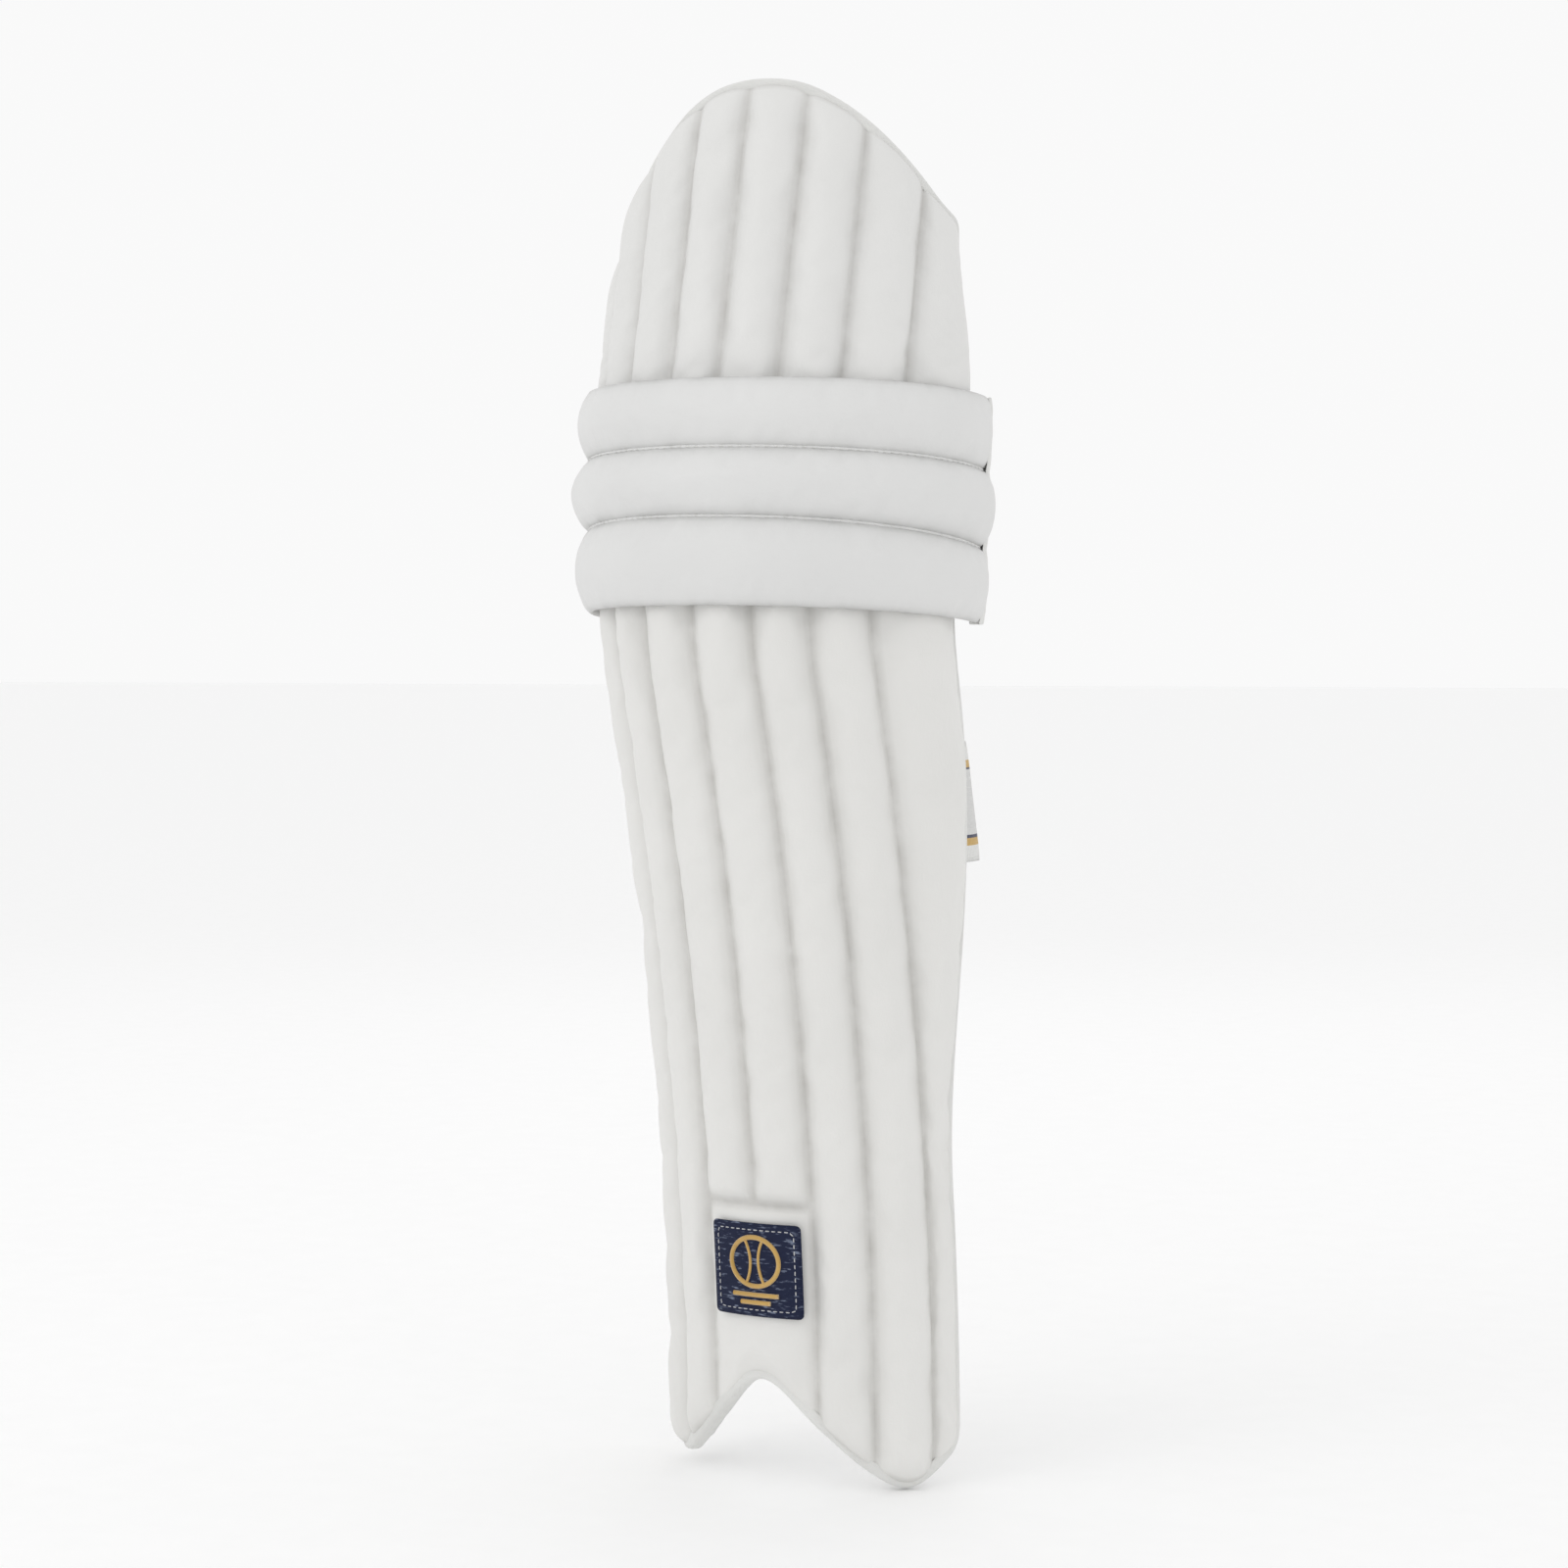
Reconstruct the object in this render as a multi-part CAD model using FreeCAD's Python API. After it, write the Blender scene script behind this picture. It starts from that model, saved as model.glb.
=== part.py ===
import FreeCAD, Part
import math
import os

# Cricket leg pad for a right leg, adult size.  Millimetres.
# Front is -Y, the wearer's inner side is +X, up is +Z.  The origin is on the
# axis of the leg space, level with the middle of the knee rolls.

# Half-pipe that the pad is built round
R_LEG = 80.0             # inner face of the lining
LINING = 1.2
BASE_FOAM = 10.6
COVER = 1.0              # synthetic leather skin
LAP = 0.2                # play between sewn layers
CROWN = 8.8              # height of a channel over its seams
FULLNESS = 0.33          # a narrow channel rises by no more than this share of its width
PANEL_SWELL = 0.6        # the instep panel's swell, as a share of that
FLAP_STEP = 3.0          # the top flap's channels lie this much further out
INSET = 1.3              # degrees between a seam and its channel filling

# Shin
SHIN_TOP = -42.0
SHIN_LOW = -530.0
BEND_Z = -77.0           # the shin starts to lean back here
BEND_LEN = 448.0
BEND_DEPTH = 67.0
BEND_SOFT = 40.0         # length over which a change of lean is eased
PANEL_TOP = -376.0       # the two middle channels end here
SHIN_SEAMS = [0.0, 20.0, 38.0, 58.0]
SHIN_EDGE_TOP = 97.0
SHIN_EDGE_LOW = 67.5
SHIN_EDGE_Z = -365.0
INNER_TRIM = 0.96        # the outer wing is this fraction of the inner one
ARCH = [(-88.0, -498.0), (-70.0, -520.0), (-55.0, -513.0), (-34.0, -495.0), (0.0, -468.0),
        (36.0, -497.0), (57.0, -517.0), (73.0, -525.0), (89.0, -503.0)]

# Top flap
FLAP_BOTTOM = 38.0
FLAP_TOP = 218.0
FLAP_LEAN = 0.196
FLAP_LEAN_Z = 15.0
FLAP_SEAMS = [8.5, 27.0, 46.0, 67.5]
FLAP_EDGE_LOW = 103.0
FLAP_EDGE_TOP = 84.0
FLAP_EDGE_Z = 144.0
DOME = [(-103.0, 92.0), (-89.0, 113.0), (-76.0, 134.0), (-64.0, 154.0), (-52.0, 171.0), (-38.0, 185.0),
        (-24.0, 197.5), (-6.0, 207.5), (15.0, 211.5), (40.0, 209.0), (60.0, 198.0), (75.0, 183.5),
        (87.0, 165.0), (95.0, 145.0), (106.0, 112.0)]

# Knee block: z at the front and at 108 degrees round, then crown radius
KNEE_LINES = [(57.0, 52.5), (22.0, 12.6), (-13.0, -30.0), (-59.0, -69.0)]
KNEE_IN = R_LEG + 24.2         # clears the shin's channels
KNEE_IN_TOP = R_LEG + 26.8     # clears the top flap's channels
KNEE_GROOVE = R_LEG + 27.5
KNEE_CROWNS = [KNEE_GROOVE + 4.5, KNEE_GROOVE + 8.0, KNEE_GROOVE + 6.1]
KNEE_EDGE_TOP = 108.0
KNEE_EDGE_LOW = 100.0
KNEE_BACK = R_LEG + 14.0
KNEE_BACK_T = 3.0
KNEE_BACK_Z = [-36.0, 34.0]
KNEE_BACK_EDGE = 90.0
CUP_T = 9.0

BINDING = 2.6            # width of the edge binding
BINDING_OVER = 1.0       # binding stands this much proud of the front face
CANE_R = 2.5
CANE_FIT = 0.15
CANE_END = 18.0          # canes stop this far short of the ends of their channels
BOLSTER = [30.0, 61.0, 16.0]   # from angle, to angle, thickness
BOLSTER_Z = [-90.0, -160.0, -230.0, -300.0, -370.0, -430.0]
BADGE = [52.5, 52.0, 2.0]      # width, height, thickness
BADGE_AT = [-410.0, 1.5]       # middle height and angle

# Straps: middle height, width, radius of the face they are sewn to, wing ends, slack behind the inner wing
STRAPS = {"calf": (-163.0, 65.0, R_LEG, 86.8, 92.5, 9.5), "knee": (-8.0, 50.0, KNEE_BACK, 90.0, 90.0, 0.0)}
SLACK_REACH = 78.0       # degrees over which a slack strap stands off
WEB = 1.8
BAR_R = 2.0
BAR_PITCH = 20.0
FOLD_R = 3.2
TAB_FIT = 0.4
TAIL_LEN = 92.0
HOOK = 1.7
GAP = 0.35               # least distance between moving pieces

V = FreeCAD.Vector


def rad(a):
    return math.radians(a)


def ease(d):
    """0 below zero and d above it, with a rounded corner."""
    return max(0.0, min(d, BEND_SOFT / 2) + BEND_SOFT / 2) ** 2 / BEND_SOFT / 2 + max(0.0, d - BEND_SOFT / 2)


def ramp(d, length):
    """Climbs from 0 to 1 over the length, level at both ends."""
    t = min(1.0, max(0.0, d / length))
    return t * t * (3 - 2 * t)


def centre_y(z):
    t = ease(BEND_Z - z) / BEND_LEN
    return BEND_DEPTH * (1 - (1 - t) ** 2) + FLAP_LEAN * ease(z - FLAP_LEAN_Z - BEND_SOFT / 2)


def at(r, a, z):
    return V(r * math.sin(rad(a)), centre_y(z) - r * math.cos(rad(a)), z)


def line(p, q):
    return Part.LineSegment(p, q).toShape()


def arc3(p, q, s):
    return Part.Arc(p, q, s).toShape()


def arc(r, a, b, z):
    return arc3(at(r, a, z), at(r, (a + b) / 2, z), at(r, b, z))


def loft(wires):
    body = Part.makeLoft(wires, True, False)
    if not body.isValid():
        body.fix(0.01, 0.001, 0.1)
    return body.reversed() if body.Volume < 0 else body


def slab_wire(r0, r1, a, b, z):
    edges = [arc(r1, a, b, z), line(at(r1, b, z), at(r0, b, z))]
    edges += [arc(r0, b, a, z), line(at(r0, a, z), at(r1, a, z))]
    return Part.Wire(edges)


def lift(r, a, b):
    return min(CROWN, FULLNESS * r * rad(b - a))


def crescent_wire(r, crown, a, b, z):
    """Skin over one channel, from seam to seam."""
    mid = (a + b) / 2
    out = arc3(at(r + COVER, a, z), at(r + COVER + crown, mid, z), at(r + COVER, b, z))
    back = arc3(at(r, b, z), at(r + crown, mid, z), at(r, a, z))
    ends = [line(at(r + COVER, b, z), at(r, b, z)), line(at(r, a, z), at(r + COVER, a, z))]
    return Part.Wire([out, ends[0], back, ends[1]])


def lens_wire(r, top, a, b, z):
    mid = (a + b) / 2
    return Part.Wire([arc3(at(r, a, z), at(top, mid, z), at(r, b, z)), arc(r, b, a, z)])


def disc_wire(r, a, radius, z):
    circle = Part.Circle(at(r, a, z), V(0, 0, 1), radius)
    return Part.Wire([circle.toShape()])


def biggest(shape):
    return max(shape.Solids, key=lambda s: s.Volume)


def save(name, shape):
    shape.exportStep("parts/" + name + ".step")


def outline_cut(points, side, drop):
    """Slab beyond a line seen from the front: side -1 below it, +1 above it."""
    pts = [V(x, -160, z + drop) for x, z in points]
    ends = [V(pts[0].x - 60, -160, pts[0].z + side * 4), V(pts[-1].x + 60, -160, pts[-1].z + side * 4)]
    curve = Part.BSplineCurve()
    curve.interpolate(pts)
    far = side * 110
    corner_a = V(ends[0].x, -160, ends[0].z + far)
    corner_b = V(ends[1].x, -160, ends[1].z + far)
    edges = [line(ends[0], pts[0]), curve.toShape(), line(pts[-1], ends[1])]
    edges += [line(ends[1], corner_b), line(corner_b, corner_a), line(corner_a, ends[0])]
    return Part.Face(Part.Wire(edges)).extrude(V(0, 360, 0))


# ---------------------------------------------------------------- shin

def shin_edge(z):
    return SHIN_EDGE_TOP + (SHIN_EDGE_LOW - SHIN_EDGE_TOP) * ramp(BEND_Z - z, BEND_Z - SHIN_EDGE_Z)


def shin_levels(count=11):
    return [SHIN_TOP + (SHIN_LOW - SHIN_TOP) * n / (count - 1) for n in range(count)]


def shin_stops(z):
    right = SHIN_SEAMS + [shin_edge(z)]
    left = [-a for a in SHIN_SEAMS[1:]] + [-shin_edge(z) * INNER_TRIM]
    return left[::-1] + right


def shin_slab(r0, r1, grow=0.0):
    levels = shin_levels()
    stops = [shin_stops(z) for z in levels]
    return loft([slab_wire(r0, r1, s[0] - grow, s[-1] + grow, z) for s, z in zip(stops, levels)])


def binding_frame(outer, inner):
    return biggest(outer.cut(inner))


def channel(stops_at, levels, r, n, caned):
    """Filling, skin and cane of one channel between two seams."""
    wires, bores, rods, skins = [], [], [], []
    for z in levels:
        a, b = stops_at(z)[n:n + 2]
        crown = lift(r, a, b)
        skins.append(crescent_wire(r + LAP, crown, a, b, z))
        wires.append(lens_wire(r, r + crown - LAP, a + INSET, b - INSET, z))
        bores.append(disc_wire(r + CROWN / 2, (a + b) / 2, CANE_R + CANE_FIT, z))
        rods.append(disc_wire(r + CROWN / 2, (a + b) / 2, CANE_R, z))
    fill = loft(wires)
    return fill.cut(loft(bores)) if caned else fill, loft(skins), loft(rods)


def slab_box(low, top):
    return Part.makeBox(400, 400, top - low, V(-200, -200, low))


def shin():
    arch = outline_cut(ARCH, -1, 0.0)
    r_foam = R_LEG + LINING + LAP
    r_top = r_foam + BASE_FOAM
    r_fill = r_top + LAP
    save("shin_lining", biggest(shin_slab(R_LEG, R_LEG + LINING).cut(arch)))
    save("shin_base_foam", biggest(shin_slab(r_foam, r_top).cut(arch)))
    canes, skins = [], []
    last = 2 * len(SHIN_SEAMS) - 1
    for n in range(last + 1):
        fill, skin, rod = channel(shin_stops, shin_levels(), r_fill, n, 0 < n < last)
        if n in (3, 4):
            fill = fill.cut(slab_box(SHIN_LOW - 10, PANEL_TOP))
            rod = rod.cut(slab_box(SHIN_LOW - 10, PANEL_TOP + CANE_END))
            skin = skin.cut(slab_box(SHIN_LOW - 10, PANEL_TOP))
        save("shin_channel_%d" % (n + 1), biggest(fill.cut(arch)))
        rod = rod.cut(arch.translated(V(0, 0, CANE_END)))
        canes.append(biggest(rod.cut(slab_box(SHIN_TOP - CANE_END, SHIN_TOP + 10))))
        skins.append(biggest(skin.cut(arch)))
    save("shin_canes", Part.Compound(canes[1:-1]))
    save("shin_cover", Part.Compound(skins))
    r_skin = r_fill + LAP
    span = SHIN_SEAMS[1] - LAP
    lower = [PANEL_TOP - LAP] + [z for z in shin_levels() if z < PANEL_TOP - 5]
    swell = CROWN * PANEL_SWELL
    panel = loft([crescent_wire(r_skin, swell, -span, span, z) for z in lower])
    pad = loft([lens_wire(r_fill, r_fill + swell - LAP, INSET - span, span - INSET, z) for z in lower])
    save("instep_cover", biggest(panel.cut(arch)))
    save("instep_pad", biggest(pad.cut(arch)))
    frame_out = shin_slab(R_LEG - 2 * LAP, r_skin + COVER + BINDING_OVER, 1.7)
    frame_out = frame_out.cut(outline_cut(ARCH, -1, -BINDING))
    frame_in = shin_slab(R_LEG - 20, r_skin + 30, 0.0).cut(arch)
    save("shin_binding", binding_frame(frame_out, frame_in))
    for name, sign in (("bolster_outer", -1), ("bolster_inner", 1)):
        a, b, thick = BOLSTER
        wires = [lens_wire(R_LEG - LAP, R_LEG - thick, sign * a, sign * b, z) for z in BOLSTER_Z]
        save(name, loft(wires))
    badge(r_skin + COVER, swell, span)


def badge(r_edge, swell, span):
    """Patch that follows the round of the instep panel."""
    wide, high, thick = BADGE
    z_mid, turn = BADGE_AT
    half = math.degrees(wide / 2 / (r_edge + swell))
    angles = [turn - half, turn, turn + half]
    under = [r_edge + swell * (1 - (a / span) ** 2) + LAP for a in angles]
    wires = []
    for z in (z_mid - high / 2, z_mid, z_mid + high / 2):
        back = [at(r, a, z) for r, a in zip(under, angles)]
        front = [at(r + thick, a, z) for r, a in zip(under, angles)]
        edges = [arc3(*front), line(front[-1], back[-1]), arc3(*back[::-1]), line(back[0], front[0])]
        wires.append(Part.Wire(edges))
    save("badge", loft(wires))


# ---------------------------------------------------------------- top flap

def flap_edge(z):
    return FLAP_EDGE_LOW + (FLAP_EDGE_TOP - FLAP_EDGE_LOW) * ramp(z - FLAP_BOTTOM, FLAP_EDGE_Z - FLAP_BOTTOM)


def flap_stops(z):
    edge = flap_edge(z)
    return [-edge * INNER_TRIM] + [-a for a in FLAP_SEAMS[::-1]] + FLAP_SEAMS + [edge]


FLAP_LEVELS = [FLAP_BOTTOM + (FLAP_TOP - FLAP_BOTTOM) * n / 6 for n in range(7)]


def flap_slab(r0, r1, grow=0.0):
    stops = [flap_stops(z) for z in FLAP_LEVELS]
    return loft([slab_wire(r0, r1, s[0] - grow, s[-1] + grow, z) for s, z in zip(stops, FLAP_LEVELS)])


def top_flap():
    dome = outline_cut(DOME, 1, 0.0)
    r_in = R_LEG + FLAP_STEP
    r_foam = r_in + LINING + LAP
    r_top = r_foam + BASE_FOAM
    r_fill = r_top + LAP
    r_skin = r_fill + LAP
    save("flap_lining", biggest(flap_slab(r_in, r_in + LINING).cut(dome)))
    save("flap_base_foam", biggest(flap_slab(r_foam, r_top).cut(dome)))
    canes, skins = [], []
    last = 2 * len(FLAP_SEAMS)
    for n in range(last + 1):
        fill, skin, rod = channel(flap_stops, FLAP_LEVELS, r_fill, n, 0 < n < last)
        rod = rod.cut(dome.translated(V(0, 0, -CANE_END)))
        rod = rod.cut(slab_box(FLAP_BOTTOM - 10, FLAP_BOTTOM + CANE_END))
        save("flap_channel_%d" % (n + 1), biggest(fill.cut(dome)))
        canes.append(biggest(rod))
        skins.append(biggest(skin.cut(dome)))
    save("flap_canes", Part.Compound(canes[1:-1]))
    save("flap_cover", Part.Compound(skins))
    frame_out = flap_slab(r_in - 2 * LAP, r_skin + COVER + BINDING_OVER, 1.7)
    frame_out = frame_out.cut(outline_cut(DOME, 1, BINDING))
    frame_in = flap_slab(r_in - 20, r_skin + 30, 0.0).cut(dome)
    save("flap_binding", binding_frame(frame_out, frame_in))


# ---------------------------------------------------------------- knee block

def knee_z(n, a):
    front, end = KNEE_LINES[n]
    return front + (end - front) * (abs(a) / KNEE_EDGE_TOP) ** 2


def knee_edge(z):
    top, low = KNEE_LINES[0][1], KNEE_LINES[-1][1]
    return KNEE_EDGE_LOW + (KNEE_EDGE_TOP - KNEE_EDGE_LOW) * (z - low) / (top - low)


def on_knee(r, a, z):
    return V(r * math.sin(rad(a)), -r * math.cos(rad(a)), z)


def roll_wire(n, a, inset, grow):
    """D-shaped section of a knee roll, inset from its outer face."""
    top, low = knee_z(n, a) - LAP + grow, knee_z(n + 1, a) + LAP - grow
    r, crown, r_in = KNEE_GROOVE - inset, KNEE_CROWNS[n] - inset, KNEE_IN - 12
    out = arc3(on_knee(r, a, low), on_knee(crown, a, (top + low) / 2), on_knee(r, a, top))
    corners = [(r, top), (r_in, top), (r_in, low), (r, low)]
    pts = [on_knee(q, a, z) for q, z in corners]
    return Part.Wire([out] + [line(p, q) for p, q in zip(pts, pts[1:])])


def roll_solid(n, inset, grow):
    count = 7
    span = [KNEE_EDGE_TOP * 1.06 * k / count for k in range(-count, count + 1)]
    return loft([roll_wire(n, a, inset, grow) for a in span])


def knee_trim(sign):
    """Block that takes off everything beyond the slanted end of the rolls."""
    top, low = KNEE_LINES[0][1], KNEE_LINES[-1][1]
    fit = 1.0 if sign > 0 else INNER_TRIM
    mid = sign * fit * (KNEE_EDGE_LOW + KNEE_EDGE_TOP) / 2
    slant = KNEE_GROOVE * rad(KNEE_EDGE_TOP - KNEE_EDGE_LOW) * fit / (top - low)
    out = V(math.sin(rad(mid)), -math.cos(rad(mid)), 0)
    along = V(math.cos(rad(mid)), math.sin(rad(mid)), 0) * sign
    up = (V(0, 0, 1) + along * slant) * 100
    base = on_knee(KNEE_GROOVE, mid, (top + low) / 2)
    corners = [base + out * u + up * w for u, w in ((-40, -1), (40, -1), (40, 1), (-40, 1), (-40, -1))]
    return Part.Face(Part.makePolygon(corners)).extrude(along * 60)


def knee_block():
    step = FLAP_BOTTOM - 2
    hollow = Part.makeCylinder(KNEE_IN, step + 100, V(0, 0, -100))
    hollow = hollow.fuse(Part.makeCylinder(KNEE_IN_TOP, 100, V(0, 0, step)))
    trims = [knee_trim(1), knee_trim(-1), hollow]
    for n in range(3):
        core = roll_solid(n, COVER + LAP, -3 * LAP)
        skin = roll_solid(n, 0.0, 0.0).cut(roll_solid(n, COVER, 0.5))
        save("knee_roll_core_%d" % (n + 1), biggest(core.cut(trims)))
        save("knee_roll_cover_%d" % (n + 1), biggest(skin.cut(trims)))
    low, top = KNEE_BACK_Z
    edge = KNEE_BACK_EDGE
    r_mid = KNEE_BACK + KNEE_BACK_T
    save("knee_backing", ring_slab(KNEE_BACK, r_mid, -edge, edge, low, top))
    save("knee_base_foam", ring_slab(r_mid + LAP, KNEE_IN - LAP, -edge, edge, low, top))
    cup_low, cup_top = low + 4, top - 4
    save("knee_cup", ring_slab(KNEE_BACK - LAP - CUP_T, KNEE_BACK - LAP, -42, 42, cup_low, cup_top))
    for name, sign in (("knee_binding_outer", -1), ("knee_binding_inner", 1)):
        fit = 1.0 if sign > 0 else INNER_TRIM
        wires = []
        low_end, top_end = KNEE_LINES[-1][1] + 1.5, KNEE_LINES[0][1] - 1.5
        for z in (low_end, (low_end + top_end) / 2, top_end):
            a = sign * (knee_edge(z) * fit + 0.15)
            b = a + sign * 1.5
            wires.append(knee_band_wire(KNEE_IN_TOP, KNEE_GROOVE + 2.5, a, b, z))
        save(name, loft(wires))


def knee_band_wire(r0, r1, a, b, z):
    p, q, s, t = on_knee(r1, a, z), on_knee(r1, b, z), on_knee(r0, b, z), on_knee(r0, a, z)
    return Part.Wire([line(p, q), line(q, s), line(s, t), line(t, p)])


def ring_slab(r0, r1, a, b, low, top):
    edges = []
    for r, first, last in ((r1, a, b), (r0, b, a)):
        edges.append(arc3(on_knee(r, first, low), on_knee(r, (first + last) / 2, low), on_knee(r, last, low)))
    edges.insert(1, line(on_knee(r1, b, low), on_knee(r0, b, low)))
    edges.append(line(on_knee(r0, a, low), on_knee(r1, a, low)))
    return Part.Face(Part.Wire(edges)).extrude(V(0, 0, top - low))


def gussets():
    """Cloth strips that close the two flex lines."""
    low = ring_slab(KNEE_BACK + 0.5, KNEE_BACK + 1.7, -84, 84, SHIN_TOP + LAP, KNEE_BACK_Z[0] - GAP)
    high = ring_slab(KNEE_BACK + 0.5, KNEE_BACK + 1.7, -84, 84, KNEE_BACK_Z[1] + LAP, FLAP_BOTTOM - GAP)
    save("gusset_lower", low)
    save("gusset_upper", high)


# ---------------------------------------------------------------- straps

def web(points, z0, shift, height):
    """Prism over a closed plan outline, leaning with the pad."""
    edges = [line(p, q) for p, q in zip(points, points[1:] + points[:1])]
    return Part.Face(Part.Wire(edges)).extrude(V(0, shift, height))


def strap(name, spec):
    z_mid, width, face_r, edge_out, edge_in, slack = spec
    z0 = z_mid - width / 2
    z1 = z_mid + width / 2
    y0, y1 = centre_y(z0), centre_y(z1)
    shift = y1 - y0
    r_bar = face_r - 2 * LAP - WEB + BAR_R + TAB_FIT + WEB - LAP
    r_web = r_bar - FOLD_R
    fit = BAR_R + TAB_FIT

    def spot(r, a, dz=0.0):
        k = dz / width
        return V(r * math.sin(rad(a)), y0 + shift * k - r * math.cos(rad(a)), z0 + dz)

    def ribbon(r0, r1, a, b):
        edges = []
        for r, first, last in ((r1, a, b), (r0, b, a)):
            edges.append(arc3(spot(r, first), spot(r, (first + last) / 2), spot(r, last)))
        edges.insert(1, line(spot(r1, b), spot(r0, b)))
        edges.append(line(spot(r0, a), spot(r1, a)))
        return Part.Face(Part.Wire(edges)).extrude(V(0, shift, width))

    def bowed(r0, r1, a, b):
        """Ribbon that stands off by the slack half way along."""
        steps = [k / 12 for k in range(13)]
        sides = []
        for r in (r0, r1):
            curve = Part.BSplineCurve()
            curve.interpolate([spot(r + slack * math.sin(math.pi * k) ** 2, a + (b - a) * k) for k in steps])
            sides.append(curve.toShape())
        edges = [sides[0], line(spot(r0, b), spot(r1, b)), sides[1], line(spot(r1, a), spot(r0, a))]
        return Part.Face(Part.Wire(Part.__sortEdges__(edges))).extrude(V(0, shift, width))

    def tube(r, a, r_out, r_in, half=0):
        """Round fold over a bar; half 1 keeps only its front side."""
        base = spot(r, a)
        ring = Part.Face(Part.Wire([Part.Circle(base, V(0, 0, 1), r_out).toShape()]))
        ring = ring.cut(Part.Face(Part.Wire([Part.Circle(base, V(0, 0, 1), r_in).toShape()])))
        body = ring.extrude(V(0, shift, width))
        if half:
            out = (spot(r + 20, a) - base)
            back = V(-out.y, out.x, 0) * (-1)
            p = base - out
            q = base + out
            gone = web([p, q, q + back, p + back], z0, shift, width)
            body = body.cut(gone)
        return biggest(body)

    def bar(p, q):
        return Part.makeCylinder(BAR_R, (q - p).Length, p, q - p)

    a_front = -(edge_in + math.degrees((fit + WEB + 5.0) / r_bar))
    a_rear = a_front - math.degrees(BAR_PITCH / r_bar)
    tab = ribbon(r_bar - fit - WEB, r_bar - fit, a_front, -63.5).fuse(tube(r_bar, a_front, fit + WEB, fit))
    save(name + "_tab", biggest(tab))

    over = 4.0
    low_f, top_f = spot(r_bar, a_front, -over), spot(r_bar, a_front, width + over)
    low_r, top_r = spot(r_bar, a_rear, -over), spot(r_bar, a_rear, width + over)
    ring = bar(low_f, top_f).fuse([bar(low_r, top_r), bar(low_f, low_r), bar(top_f, top_r)])
    ring = ring.fuse([Part.makeSphere(BAR_R, p) for p in (low_f, top_f, low_r, top_r)])
    save(name + "_ring", biggest(ring))

    a_round = 360.0 + a_rear
    band = ribbon(r_web - WEB, r_web, 64.0, edge_out)
    free = ribbon(r_web - WEB, r_web, edge_out + SLACK_REACH, a_round)
    bow = bowed(r_web - WEB, r_web, edge_out, edge_out + SLACK_REACH)
    anchor = ribbon(r_web - WEB, face_r - 2.5 * LAP, 64.0, edge_out - 4)
    fold = tube(r_bar, a_rear, FOLD_R + WEB, FOLD_R, 1)
    save(name + "_band", biggest(band.fuse([anchor, bow, free, fold])))

    r_hinge = r_bar + FOLD_R + WEB / 2
    a_hinge = a_rear - math.degrees((WEB / 2 + GAP) / r_hinge)
    a_near = a_hinge - 9.0
    a_end = a_hinge - math.degrees(TAIL_LEN / r_hinge)
    r_loop = r_web + LAP
    r_tail = r_loop + 2 * HOOK + GAP + LAP
    nose = Part.Face(Part.Wire([Part.Circle(spot(r_hinge, a_hinge), V(0, 0, 1), WEB / 2).toShape()]))
    nose = nose.extrude(V(0, shift, width))
    near = [spot(r_hinge - WEB / 2, a_hinge), spot(r_tail, a_near)]
    far = [spot(r_tail + WEB, a_near), spot(r_hinge + WEB / 2, a_hinge)]
    slope = web(near + far, z0, shift, width)
    tail = ribbon(r_tail, r_tail + WEB, a_near, a_end).fuse([slope, nose])
    save(name + "_tail", biggest(tail))
    save(name + "_hook", ribbon(r_tail - LAP - HOOK, r_tail - LAP, a_near - 3, a_end + 3))
    save(name + "_loop", ribbon(r_loop, r_loop + HOOK, a_near - 1, a_end - 14))


def main():
    os.makedirs("parts", exist_ok=True)
    shin()
    top_flap()
    knee_block()
    gussets()
    for name, spec in STRAPS.items():
        strap(name, spec)


main()
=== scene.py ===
import bpy
import bmesh
from math import atan2, copysign, cos, degrees, exp, hypot, pi, radians, sin, sqrt
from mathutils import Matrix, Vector, noise


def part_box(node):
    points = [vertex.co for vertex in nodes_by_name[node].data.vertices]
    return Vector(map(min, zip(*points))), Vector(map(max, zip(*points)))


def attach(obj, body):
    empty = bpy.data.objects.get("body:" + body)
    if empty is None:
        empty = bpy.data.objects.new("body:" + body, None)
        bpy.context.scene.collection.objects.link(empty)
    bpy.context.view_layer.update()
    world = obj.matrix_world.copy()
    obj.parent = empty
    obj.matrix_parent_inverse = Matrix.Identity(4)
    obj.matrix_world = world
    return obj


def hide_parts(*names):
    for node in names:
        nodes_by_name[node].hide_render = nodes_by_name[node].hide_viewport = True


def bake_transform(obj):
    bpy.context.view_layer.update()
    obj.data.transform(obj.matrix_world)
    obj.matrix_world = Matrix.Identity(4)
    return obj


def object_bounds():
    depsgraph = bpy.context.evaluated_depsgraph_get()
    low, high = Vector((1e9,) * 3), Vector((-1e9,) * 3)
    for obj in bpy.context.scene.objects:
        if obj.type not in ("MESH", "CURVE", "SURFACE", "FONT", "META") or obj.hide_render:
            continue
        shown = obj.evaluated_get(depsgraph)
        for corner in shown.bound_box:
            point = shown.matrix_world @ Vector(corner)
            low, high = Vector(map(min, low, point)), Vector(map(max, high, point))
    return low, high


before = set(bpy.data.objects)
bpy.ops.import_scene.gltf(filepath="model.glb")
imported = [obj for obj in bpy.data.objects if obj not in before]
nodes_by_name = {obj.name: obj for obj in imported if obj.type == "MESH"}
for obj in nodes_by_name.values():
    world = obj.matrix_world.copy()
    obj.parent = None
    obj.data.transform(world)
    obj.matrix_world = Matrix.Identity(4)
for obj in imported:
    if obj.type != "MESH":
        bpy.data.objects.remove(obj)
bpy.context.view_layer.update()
MM = 0.001

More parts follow.
